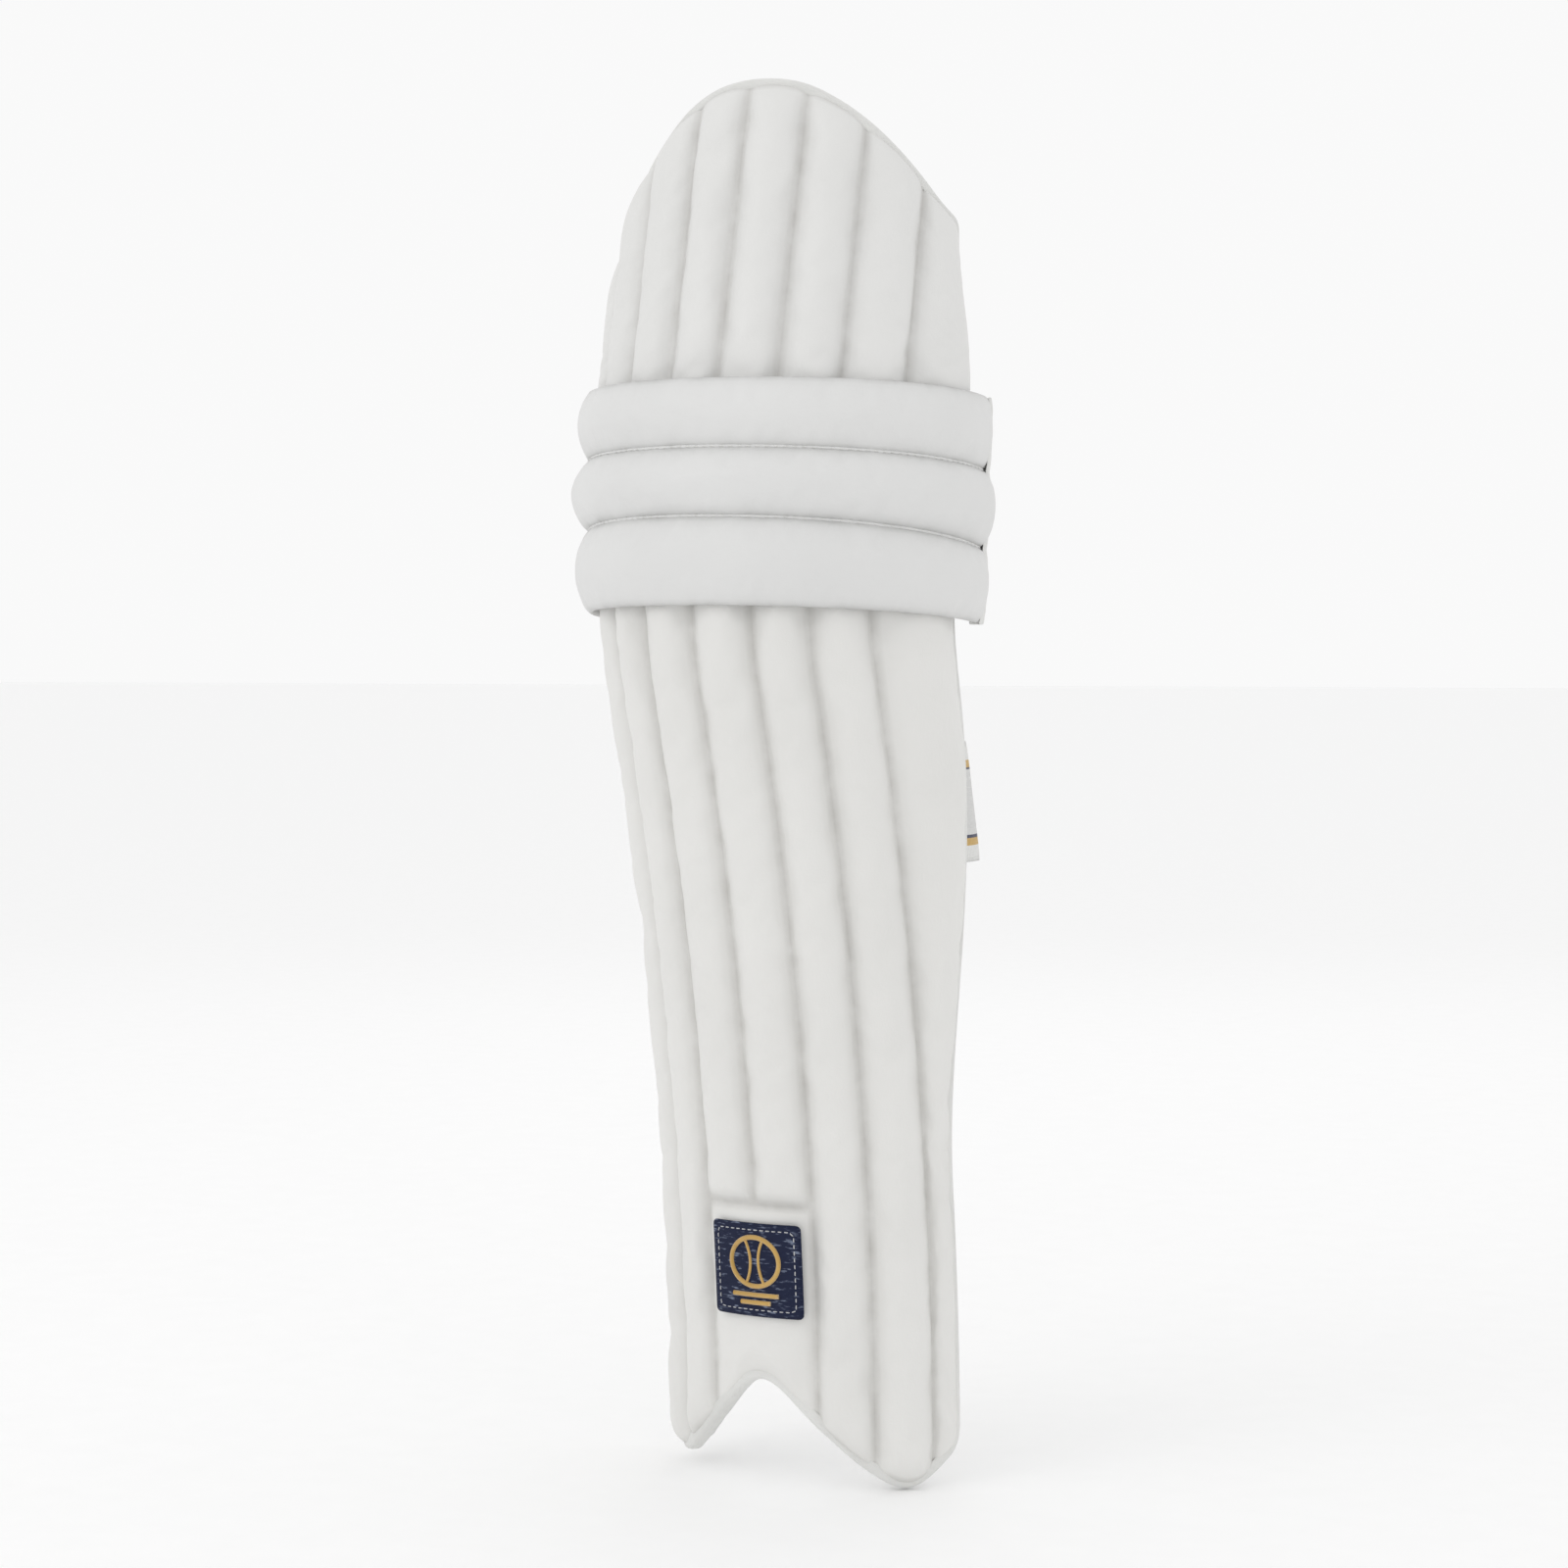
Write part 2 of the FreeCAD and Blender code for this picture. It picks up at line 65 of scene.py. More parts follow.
# ---- the pad's own sizes, in millimetres
R_LEG, R_FACE, R_FLAP_FACE = 80.0, 93.4, 96.4
CROWN, FULLNESS, PANEL_SWELL = 8.9, 0.33, 5.6
SHIN_TOP, PANEL_TOP = -42.0, -376.0
SHIN_SEAMS = [0.0, 20.0, 38.0, 58.0]
FLAP_SEAMS = [8.5, 27.0, 46.0, 67.5]
FLAP_BOTTOM = 38.0
TRIM = 0.96
ARCH = [(-88.0, -498.0), (-70.0, -520.0), (-55.0, -513.0), (-34.0, -495.0), (0.0, -468.0),
        (36.0, -497.0), (57.0, -517.0), (73.0, -525.0), (89.0, -503.0)]
DOME = [(-103.0, 92.0), (-89.0, 113.0), (-76.0, 134.0), (-64.0, 154.0), (-52.0, 171.0), (-38.0, 185.0),
        (-24.0, 197.5), (-6.0, 207.5), (15.0, 211.5), (40.0, 209.0), (60.0, 198.0), (75.0, 183.5),
        (87.0, 165.0), (95.0, 145.0), (106.0, 112.0)]
KNEE_LINES = [(57.0, 52.5), (22.0, 12.6), (-13.0, -30.0), (-59.0, -69.0)]
KNEE_CROWNS = [112.0, 115.5, 113.6]
KNEE_GROOVE = 107.5
KNEE_IN, KNEE_IN_TOP = 104.4, 107.0           # flat back of the rolls; the top one clears the flap
EDGE_R, EDGE_BAND = 87.0, 6.0                 # inner face at the binding, and how far in it thins
BLEND = 20.0                                  # half the height over which a lean begins
LEAN_Z, LEAN_RUN, LEAN_BACK = -77.0, 448.0, 67.0
FLAP_LEAN, FLAP_LEAN_Z = 0.196, 35.0
SHIN_EDGE, SHIN_EDGE_DROP, SHIN_EDGE_RUN = 97.0, 29.5, 288.0      # wing edges, in degrees round the leg
FLAP_EDGE, FLAP_EDGE_DROP, FLAP_EDGE_RUN = 103.0, 19.0, 106.0
KNEE_EDGE, KNEE_EDGE_RISE, KNEE_EDGE_TOP = 100.0, 8.0, 108.0
KNEE_LOW, KNEE_TALL = -69.0, 121.5
KNEE_TAPE_Z = (-68.0, 52.0)
TAIL_LENGTH = 92.0
PRESSURE, CLOTH_FRAMES = 4.0, 20


def smooth01(t):
    t = min(1.0, max(0.0, t))
    return t * t * (3 - 2 * t)


def ease(d):
    """0 well before d = 0 and d well after it, with a smooth start."""
    return max(0.0, min(d, BLEND) + BLEND) ** 2 / (4 * BLEND) + max(0.0, d - BLEND)


def centre_y(z):
    """Where the leaning pad's axis is at height z."""
    t = ease(LEAN_Z - z) / LEAN_RUN
    return LEAN_BACK * (1 - (1 - t) ** 2) + FLAP_LEAN * ease(z - FLAP_LEAN_Z)


def at(r, a, z):
    return Vector((r * sin(radians(a)), centre_y(z) - r * cos(radians(a)), z))


def on_knee(r, a, z):
    return Vector((r * sin(radians(a)), -r * cos(radians(a)), z))


def spline(points):
    """Smooth curve z(x) through points in order of x."""
    slopes = []
    for i in range(len(points)):
        p, q = points[max(0, i - 1)], points[min(len(points) - 1, i + 1)]
        slopes.append((q[1] - p[1]) / (q[0] - p[0]))

    def value(x):
        x = min(points[-1][0], max(points[0][0], x))
        i = max(k for k in range(len(points) - 1) if points[k][0] <= x or k == 0)
        (x0, z0), (x1, z1) = points[i], points[i + 1]
        h = x1 - x0
        t = (x - x0) / h
        return ((1 + 2 * t) * (1 - t) ** 2 * z0 + t * (1 - t) ** 2 * h * slopes[i]
                + t * t * (3 - 2 * t) * z1 + t * t * (t - 1) * h * slopes[i + 1])
    return value


arch_z = spline(ARCH)
dome_z = spline(DOME)


def shin_edge(z):
    return SHIN_EDGE - SHIN_EDGE_DROP * smooth01((LEAN_Z - z) / SHIN_EDGE_RUN)


def shin_stops(z):
    return [-shin_edge(z) * TRIM] + [-a for a in SHIN_SEAMS[:0:-1]] + SHIN_SEAMS + [shin_edge(z)]


def flap_edge(z):
    return FLAP_EDGE - FLAP_EDGE_DROP * smooth01((z - FLAP_BOTTOM) / FLAP_EDGE_RUN)


def flap_stops(z):
    return [-flap_edge(z) * TRIM] + [-a for a in FLAP_SEAMS[::-1]] + FLAP_SEAMS + [flap_edge(z)]


def knee_z(n, a):
    front, end = KNEE_LINES[n]
    return front + (end - front) * (abs(a) / KNEE_EDGE_TOP) ** 2


def knee_edge(z):
    return KNEE_EDGE + KNEE_EDGE_RISE * (z - KNEE_LOW) / KNEE_TALL


def crown_of(r, a, b):
    return min(CROWN, FULLNESS * r * radians(b - a))


def dome_off(d, reach):
    """0 at an edge, 1 from reach inwards, round in between."""
    t = min(1.0, max(0.0, d / reach))
    return sqrt(max(0.0, 1 - (1 - t) ** 2))


def n3(p, scale, seed=0.0):
    return noise.noise(Vector((p[0] * scale + seed, p[1] * scale + seed * 1.7, p[2] * scale - seed)))


# ---- mesh helpers
def make(name, verts, faces, material, smooth=True):
    mesh = bpy.data.meshes.new(name)
    mesh.from_pydata([tuple(v * MM) for v in verts], [], faces)
    mesh.update()
    obj = bpy.data.objects.new(name, mesh)
    bpy.context.scene.collection.objects.link(obj)
    mesh.materials.append(material)
    for p in mesh.polygons:
        p.use_smooth = smooth
    return obj


def grid_faces(cols, rows, flip=False):
    faces = []
    for i in range(cols - 1):
        for j in range(rows - 1):
            f = (i * rows + j, (i + 1) * rows + j, (i + 1) * rows + j + 1, i * rows + j + 1)
            faces.append(f[::-1] if flip else f)
    return faces


def two_sided(cols, rows, flip=False):
    """Faces of two matching grids, the second one turned round."""
    size = cols * rows
    front = grid_faces(cols, rows, flip=flip)
    return front + [tuple(k + size for k in f[::-1]) for f in front]


def rim_faces(cols, rows):
    """Faces that join the outlines of two matching grids."""
    size, last = cols * rows, rows - 1
    rim = [i * rows for i in range(cols)] + [(cols - 1) * rows + k for k in range(1, rows)]
    rim += [i * rows + last for i in range(cols - 2, -1, -1)] + [k for k in range(last - 1, 0, -1)]
    return [(a, a + size, b + size, b) for a, b in zip(rim, rim[1:] + rim[:1])]


def turn_outwards(obj, merge=None):
    """Turns a closed mesh's faces outwards, first joining points closer than merge millimetres."""
    bm = bmesh.new()
    bm.from_mesh(obj.data)
    if merge:
        bmesh.ops.remove_doubles(bm, verts=bm.verts, dist=merge * MM)
    bmesh.ops.recalc_face_normals(bm, faces=bm.faces)
    bm.to_mesh(obj.data)
    bm.free()


def add_float(obj, name, values):
    layer = obj.data.attributes.new(name=name, type="FLOAT", domain="POINT")
    layer.data.foreach_set("value", values)


def apply_modifiers(obj):
    bpy.context.view_layer.update()
    graph = bpy.context.evaluated_depsgraph_get()
    mesh = bpy.data.meshes.new_from_object(obj.evaluated_get(graph))
    old = obj.data
    obj.modifiers.clear()
    obj.data = mesh
    bpy.data.meshes.remove(old)
    for p in obj.data.polygons:
        p.use_smooth = True


def subdivide(obj):
    mod = obj.modifiers.new("sub", "SUBSURF")
    mod.levels = 1
    mod.render_levels = 1
    apply_modifiers(obj)


def thicken(obj, mm, offset=-1.0, even=True):
    mod = obj.modifiers.new("solid", "SOLIDIFY")
    mod.thickness = mm * MM
    mod.offset = offset
    mod.use_even_offset = even
    apply_modifiers(obj)


def inflate(obj, pinned, cap, grow=0.012):
    """Cloth under pressure with its seams held; movement is capped in millimetres."""
    start = [v.co.copy() for v in obj.data.vertices]
    group = obj.vertex_groups.new(name="sewn")
    group.add(pinned, 1.0, "REPLACE")
    mod = obj.modifiers.new("cloth", "CLOTH")
    s = mod.settings
    s.quality = 6
    s.mass = 0.25
    s.tension_stiffness = 18
    s.compression_stiffness = 12
    s.shear_stiffness = 6
    s.bending_stiffness = 0.35
    s.tension_damping = 8
    s.compression_damping = 8
    s.shear_damping = 8
    s.air_damping = 4
    s.vertex_group_mass = "sewn"
    s.pin_stiffness = 1.0
    s.shrink_min = -grow
    s.use_pressure = True
    s.uniform_pressure_force = PRESSURE
    s.effector_weights.gravity = 0.0
    mod.collision_settings.use_collision = False
    mod.collision_settings.use_self_collision = False
    scene = bpy.context.scene
    mod.point_cache.frame_start = 1
    mod.point_cache.frame_end = CLOTH_FRAMES
    for f in range(1, CLOTH_FRAMES + 1):
        scene.frame_set(f)
    graph = bpy.context.evaluated_depsgraph_get()
    moved = obj.evaluated_get(graph).to_mesh()
    ends = [v.co.copy() for v in moved.vertices]
    obj.evaluated_get(graph).to_mesh_clear()
    obj.modifiers.clear()
    scene.frame_set(1)
    limit = cap * MM
    for v, a, b in zip(obj.data.vertices, start, ends):
        d = b - a
        if d.length > limit:
            d *= limit / d.length
        v.co = a + d
    obj.data.update()


# ---- materials
NOISE, WAVE = "ShaderNodeTexNoise", "ShaderNodeTexWave"


def tree_of(name):
    m = bpy.data.materials.new(name)
    m.use_nodes = True
    nodes = m.node_tree.nodes
    nodes.clear()
    out = nodes.new("ShaderNodeOutputMaterial")
    shader = nodes.new("ShaderNodeBsdfPrincipled")
    m.node_tree.links.new(shader.outputs[0], out.inputs[0])
    return m, nodes, m.node_tree.links, shader


def tex(nodes, links, kind, coord, **inputs):
    t = nodes.new(kind)
    links.new(coord, t.inputs["Vector"])
    for key, value in inputs.items():
        t.inputs[key].default_value = value
    return t


def ramp(nodes, links, source, stops, constant=False):
    r = nodes.new("ShaderNodeValToRGB")
    links.new(source, r.inputs[0])
    r.color_ramp.interpolation = "CONSTANT" if constant else "LINEAR"
    while len(r.color_ramp.elements) < len(stops):
        r.color_ramp.elements.new(0.5)
    for e, (pos, col) in zip(r.color_ramp.elements, stops):
        e.position = pos
        e.color = (*col, 1) if len(col) == 3 else col
    return r.outputs[0]


def object_space(nodes):
    return nodes.new("ShaderNodeTexCoord").outputs["Object"]


def grey(v):
    return (v, v, v)


def mix(nodes, links, factor, a, b, kind="MIX"):
    m = nodes.new("ShaderNodeMix")
    m.data_type = "RGBA"
    m.blend_type = kind
    if isinstance(factor, float):
        m.inputs[0].default_value = factor
    else:
        links.new(factor, m.inputs[0])
    for socket, value in ((m.inputs[6], a), (m.inputs[7], b)):
        if isinstance(value, tuple):
            socket.default_value = (*value, 1)
        else:
            links.new(value, socket)
    return m.outputs[2]


def bump(nodes, links, shader, heights):
    """Chains bump maps: (height socket, strength, distance in mm)."""
    last = None
    for height, strength, distance in heights:
        b = nodes.new("ShaderNodeBump")
        b.inputs["Strength"].default_value = strength
        b.inputs["Distance"].default_value = distance * MM
        links.new(height, b.inputs["Height"])
        if last:
            links.new(last, b.inputs["Normal"])
        last = b.outputs[0]
    links.new(last, shader.inputs["Normal"])


def mat_skin(name, light, dark, seam_shade):
    """Matte synthetic leather: fine grain, soft creases, and painted shade darkening the seam grooves."""
    m, nodes, links, shader = tree_of(name)
    pos = object_space(nodes)
    cloud = tex(nodes, links, NOISE, pos, Scale=9.0, Detail=4.0, Roughness=0.6)
    tone = ramp(nodes, links, cloud.outputs[0], [(0.3, dark), (0.7, light)])
    # painted shade: the seam attribute, mottled by noise, blends the colour towards the darker seam colour in
    # the seam grooves
    seam = nodes.new("ShaderNodeAttribute")
    seam.attribute_name = "seam"
    mottle = tex(nodes, links, NOISE, pos, Scale=60.0, Detail=3.0, Roughness=0.6)
    shade_mask = nodes.new("ShaderNodeMath")
    shade_mask.operation = "MULTIPLY"
    links.new(seam.outputs["Fac"], shade_mask.inputs[0])
    links.new(ramp(nodes, links, mottle.outputs[0], [(0.25, grey(0.35)), (0.75, grey(1.0))]), shade_mask.inputs[1])
    toned = mix(nodes, links, shade_mask.outputs[0], tone, seam_shade)
    links.new(toned, shader.inputs["Base Color"])
    rough = ramp(nodes, links, mottle.outputs[0], [(0.3, grey(0.44)), (0.7, grey(0.56))])
    links.new(rough, shader.inputs["Roughness"])
    shader.inputs["Specular IOR Level"].default_value = 0.42
    grain = tex(nodes, links, "ShaderNodeTexVoronoi", pos, Scale=1150.0, Randomness=1.0)
    fine = tex(nodes, links, NOISE, pos, Scale=700.0, Detail=4.0, Roughness=0.65)
    crease = tex(nodes, links, NOISE, pos, Scale=75.0, Detail=5.0, Roughness=0.62, Distortion=0.8)
    bump(nodes, links, shader,
         [(crease.outputs[0], 0.22, 1.2), (grain.outputs[0], 0.25, 0.12), (fine.outputs[0], 0.2, 0.12)])
    return m


def mat_cloth(name, light, dark, pitch=900.0, rough=0.92, sheen=0.3, depth=0.25):
    """Plain woven or knitted cloth: crossed threads and a soft fuzz."""
    m, nodes, links, shader = tree_of(name)
    pos = object_space(nodes)
    cloud = tex(nodes, links, NOISE, pos, Scale=14.0, Detail=4.0, Roughness=0.6)
    tone = ramp(nodes, links, cloud.outputs[0], [(0.3, dark), (0.7, light)])
    weave = tex(nodes, links, WAVE, pos, Scale=pitch * 0.32, Distortion=1.5, Detail=2.0)
    weave.wave_type = "BANDS"
    weave.bands_direction = "Z"
    cross = tex(nodes, links, WAVE, pos, Scale=pitch * 0.32, Distortion=1.5, Detail=2.0)
    cross.wave_type = "BANDS"
    cross.bands_direction = "DIAGONAL"
    fuzz = tex(nodes, links, NOISE, pos, Scale=1600.0, Detail=4.0, Roughness=0.7)
    links.new(mix(nodes, links, 0.18, tone, ramp(nodes, links, fuzz.outputs[0], [(0.3, dark), (0.7, light)])),
              shader.inputs["Base Color"])
    shader.inputs["Roughness"].default_value = rough
    shader.inputs["Sheen Weight"].default_value = sheen
    shader.inputs["Specular IOR Level"].default_value = 0.25
    bump(nodes, links, shader,
         [(weave.outputs["Fac"], 0.35, depth), (cross.outputs["Fac"], 0.35, depth),
          (fuzz.outputs[0], 0.5, 0.25)])
    return m


def mat_plain(name, light, dark, rough, scale=400.0):
    m, nodes, links, shader = tree_of(name)
    pos = object_space(nodes)
    cloud = tex(nodes, links, NOISE, pos, Scale=40.0, Detail=5.0, Roughness=0.6)
    links.new(ramp(nodes, links, cloud.outputs[0], [(0.3, dark), (0.7, light)]), shader.inputs["Base Color"])
    fine = tex(nodes, links, NOISE, pos, Scale=scale, Detail=4.0, Roughness=0.6)
    links.new(ramp(nodes, links, fine.outputs[0], [(0.3, grey(rough - 0.07)), (0.7, grey(rough + 0.07))]),
              shader.inputs["Roughness"])
    bump(nodes, links, shader, [(fine.outputs[0], 0.25, 0.15)])
    return m


def mat_webbing(name):
    """Elastic webbing; UV x runs along the strap in cm, y across it from 0 at the bottom to 1."""
    m, nodes, links, shader = tree_of(name)
    uv = nodes.new("ShaderNodeUVMap")
    uv.uv_map = "strap"
    split = nodes.new("ShaderNodeSeparateXYZ")
    links.new(uv.outputs[0], split.inputs[0])
    white, gold, navy, mid = (0.80, 0.80, 0.78), (0.60, 0.38, 0.10), (0.02, 0.028, 0.075), (0.70, 0.70, 0.69)
    stripes = [(0.0, white), (0.133, gold), (0.199, navy), (0.226, mid),
               (0.766, navy), (0.784, gold), (0.846, white)]
    colour = ramp(nodes, links, split.outputs[1], stripes, constant=True)
    pos = object_space(nodes)
    fuzz = tex(nodes, links, NOISE, pos, Scale=1200.0, Detail=4.0, Roughness=0.7)
    shade = ramp(nodes, links, fuzz.outputs[0], [(0.3, grey(0.80)), (0.7, grey(1.0))])
    links.new(mix(nodes, links, 0.7, colour, shade, "MULTIPLY"), shader.inputs["Base Color"])
    shader.inputs["Roughness"].default_value = 0.88
    shader.inputs["Sheen Weight"].default_value = 0.25
    ribs = tex(nodes, links, WAVE, uv.outputs[0], Scale=1.6, Distortion=0.3, Detail=1.0)
    ribs.bands_direction = "X"
    threads = tex(nodes, links, WAVE, uv.outputs[0], Scale=12.0, Distortion=0.2, Detail=1.0)
    threads.bands_direction = "Y"
    bump(nodes, links, shader,
         [(ribs.outputs["Fac"], 0.6, 0.5), (threads.outputs["Fac"], 0.4, 0.25), (fuzz.outputs[0], 0.4, 0.2)])
    return m


def mat_badge(name):
    """Navy woven patch with faded streaks."""
    m, nodes, links, shader = tree_of(name)
    pos = object_space(nodes)
    stretch = nodes.new("ShaderNodeMapping")
    stretch.inputs["Scale"].default_value = (1.0, 1.0, 5.0)
    links.new(pos, stretch.inputs["Vector"])
    streak = tex(nodes, links, NOISE, stretch.outputs[0], Scale=170.0, Detail=3.0, Roughness=0.55)
    colour = ramp(nodes, links, streak.outputs[0],
                  [(0.0, (0.006, 0.010, 0.034)), (0.57, (0.008, 0.013, 0.042)), (0.68, (0.17, 0.20, 0.28))])
    links.new(colour, shader.inputs["Base Color"])
    shader.inputs["Roughness"].default_value = 0.75
    shader.inputs["Sheen Weight"].default_value = 0.04
    shader.inputs["Specular IOR Level"].default_value = 0.25
    rows = tex(nodes, links, WAVE, pos, Scale=420.0, Distortion=0.6, Detail=1.0)
    rows.bands_direction = "Z"
    fuzz = tex(nodes, links, NOISE, pos, Scale=1500.0, Detail=3.0, Roughness=0.7)
    bump(nodes, links, shader, [(rows.outputs["Fac"], 0.5, 0.25), (fuzz.outputs[0], 0.5, 0.2)])
    return m


# the last colour of each skin is the painted shade put into its seam grooves
SKIN_WARM = mat_skin("skin_shin", (0.775, 0.77, 0.75), (0.74, 0.735, 0.715), (0.52, 0.51, 0.485))
SKIN_COOL = mat_skin("skin_knee", (0.735, 0.735, 0.728), (0.70, 0.70, 0.694), (0.50, 0.50, 0.49))
SKIN_FLAP = mat_skin("skin_flap", (0.76, 0.758, 0.745), (0.725, 0.723, 0.71), (0.52, 0.51, 0.49))
TAPE = mat_cloth("tape", (0.80, 0.80, 0.78), (0.68, 0.68, 0.66), pitch=1500.0, sheen=0.5, depth=0.3)
LINING = mat_cloth("lining", (0.78, 0.78, 0.77), (0.68, 0.68, 0.67), pitch=520.0, depth=0.6)
THREAD = mat_plain("thread", (0.84, 0.84, 0.82), (0.70, 0.70, 0.68), 0.7, 2500.0)
WEBBING = mat_webbing("webbing")
FASTENER = mat_cloth("fastener", (0.76, 0.76, 0.75), (0.60, 0.60, 0.59), pitch=2000.0, sheen=0.8, depth=0.6)
RING = mat_plain("ring_plastic", (0.80, 0.80, 0.79), (0.74, 0.74, 0.73), 0.35, 300.0)
NAVY = mat_badge("badge_navy")
BORDER = mat_cloth("badge_thread", (0.70, 0.70, 0.70), (0.50, 0.51, 0.54), pitch=2600.0, depth=0.5)
GOLD = mat_cloth("badge_gold", (0.66, 0.42, 0.12), (0.48, 0.28, 0.07), pitch=2200.0, sheen=0.6, depth=0.4)
CANE = mat_plain("cane", (0.62, 0.46, 0.25), (0.48, 0.33, 0.16), 0.6, 500.0)


# ---- ribbed face panels
def columns(count, per):
    """(channel, fraction across it) of each mesh column, with per columns in each channel."""
    cols = [(n, k / m) for n, m in zip(range(count), per) for k in range(m)]
    return cols + [(count - 1, 1.0)]


def turn(stops_at, n, s, z):
    stops = stops_at(z)
    return stops[n] + (stops[n + 1] - stops[n]) * s


def end_height(stops_at, n, s, guess, limit, r):
    z = guess
    for _ in range(12):
        z = 0.5 * z + 0.5 * limit(r * sin(radians(turn(stops_at, n, s, z))))
    return z


def swell(s, power=0.62):
    return max(0.0, 1 - (2 * s - 1) ** 2) ** power


def puckers(p, d, seed):
    """Small sewn-in wrinkles that fade away from a seam, in millimetres."""
    near = exp(-d / 5.0)
    fine = abs(n3(p, 0.16, seed)) * 1.5 + abs(n3(p, 0.33, seed + 9)) * 0.8
    return -near * fine * 0.3


def shin_face():
    cols = columns(8, [8, 10, 9, 10, 10, 9, 10, 13])
    low_rows, top_rows = 28, 68
    rows = low_rows + top_rows + 1
    verts, pinned, seam = [], [], []
    for c, (n, s) in enumerate(cols):
        z_low = end_height(shin_stops, n, s, -500.0, arch_z, R_FACE)
        for j in range(rows):
            if j <= low_rows:
                z = z_low + (PANEL_TOP - z_low) * j / low_rows
            else:
                z = PANEL_TOP + (SHIN_TOP - PANEL_TOP) * (j - low_rows) / top_rows
            stops = shin_stops(z)
            a = stops[n] + (stops[n + 1] - stops[n]) * s
            gap = radians(min(a - stops[n], stops[n + 1] - a)) * R_FACE
            middle = n in (3, 4)
            h = crown_of(R_FACE, stops[n], stops[n + 1]) * swell(s)
            from_low = dome_off(z - z_low, 16.0)
            on_seam = s in (0.0, 1.0)
            if middle:
                from_line = dome_off(abs(z - PANEL_TOP), 12.0 if z > PANEL_TOP else 9.0)
                if z <= PANEL_TOP + 0.01:
                    wide = (a + 20.0) / 40.0
                    h = PANEL_SWELL * swell(wide, 0.5)
                    gap = radians(20.0 - abs(a)) * R_FACE
                    on_seam = abs(a) > 19.9
                h *= from_line
                gap = min(gap, abs(z - PANEL_TOP))
            h *= from_low
            gap = min(gap, z - z_low)
            patched = middle and -14.5 < a < 17.5 and -439.0 < z < -381.0
            held = on_seam or patched or (middle and j == low_rows)
            if j in (0, rows - 1) or held or c in (0, len(cols) - 1):
                pinned.append(len(verts))
            soft = 0.5 * n3(at(R_FACE, a, z), 0.02, 3.0) * min(1.0, h / 5.0)
            p = at(R_FACE, a, z)
            h += puckers(p, gap, 2.0) * min(1.0, gap / 1.5 + 0.1) + soft
            verts.append(at(R_FACE + h, a, z))
            # nearness to a seam; the skin material paints shade into the grooves with it
            seam.append(exp(-max(0.0, gap) / 1.6))
    obj = make("shin_face", verts, grid_faces(len(cols), rows), SKIN_WARM)
    add_float(obj, "seam", seam)
    inflate(obj, pinned, 3.0)
    subdivide(obj)
    thicken(obj, 1.0)
    return obj


def flap_face():
    cols = columns(9, [10, 9, 9, 9, 9, 9, 9, 10, 11])
    rows = 36
    verts, pinned, seam = [], [], []
    for n, s in cols:
        z_top = end_height(flap_stops, n, s, 150.0, dome_z, R_FLAP_FACE)
        for j in range(rows):
            z = FLAP_BOTTOM + (z_top - FLAP_BOTTOM) * j / (rows - 1)
            stops = flap_stops(z)
            a = stops[n] + (stops[n + 1] - stops[n]) * s
            gap = radians(min(a - stops[n], stops[n + 1] - a)) * R_FLAP_FACE
            h = crown_of(R_FLAP_FACE, stops[n], stops[n + 1]) * swell(s) * dome_off(z_top - z, 22.0)
            gap = min(gap, (z_top - z) * 1.2)
            if j in (0, rows - 1) or s in (0.0, 1.0):
                pinned.append(len(verts))
            p = at(R_FLAP_FACE, a, z)
            h += (puckers(p, gap, 5.0) * min(1.0, gap / 1.5 + 0.1)
                  + 0.5 * n3(p, 0.02, 8.0) * min(1.0, h / 5.0))
            verts.append(at(R_FLAP_FACE + h, a, z))
            # nearness to a seam; the skin material paints shade into the grooves with it
            seam.append(exp(-max(0.0, gap) / 1.6))
    obj = make("flap_face", verts, grid_faces(len(cols), rows), SKIN_FLAP)
    add_float(obj, "seam", seam)
    inflate(obj, pinned, 3.0)
    subdivide(obj)
    thicken(obj, 1.0)
    return obj


# ---- knee rolls
def knee_roll(n):
    spans, rows = 108, 15
    verts, pinned, seam = [], [], []
    for i in range(spans + 1):
        u = i / spans
        for j in range(rows):
            v = j / (rows - 1)
            a = -knee_edge(0.0) * TRIM + (knee_edge(0.0) + knee_edge(0.0) * TRIM) * u
            for _ in range(3):
                z = knee_z(n + 1, a) + (knee_z(n, a) - knee_z(n + 1, a)) * v
                a = -knee_edge(z) * TRIM * (1 - u) + knee_edge(z) * u
            ends = radians(min(u, 1 - u) * 200.0) * KNEE_GROOVE
            h = (KNEE_CROWNS[n] - KNEE_GROOVE) * swell(v, 0.60) * dome_off(ends, 4.0)
            gap = min(v, 1 - v) * (knee_z(n, a) - knee_z(n + 1, a))
            p = on_knee(KNEE_GROOVE, a, z)
            gather = sin(a * 2.4 + 3.0 * n3(p, 0.05, n)) * exp(-gap / 7.0)
            left = smooth01((-a - 20.0) / 40.0) if n == 2 and v < 0.5 else 0.25
            h += 0.55 * gather * left * min(1.0, gap / 2.0) + 0.7 * n3(p, 0.018, 20.0 + n) * swell(v)
            h += puckers(p, gap, 30.0 + n) * min(1.0, gap / 1.5 + 0.1)
            r = KNEE_GROOVE + h
            if j in (0, rows - 1) or i in (0, spans):
                pinned.append(len(verts))
            verts.append(on_knee(r, a, z))
            # nearness to a seam; the skin material paints shade into the grooves between rolls with it
            seam.append(exp(-gap / 1.8))
    obj = make("knee_roll_%d" % (n + 1), verts, grid_faces(spans + 1, rows), SKIN_COOL)
    add_float(obj, "seam", seam)
    inflate(obj, pinned, 2.5)
    close_back(obj, spans + 1, rows, n)
    subdivide(obj)
    return obj


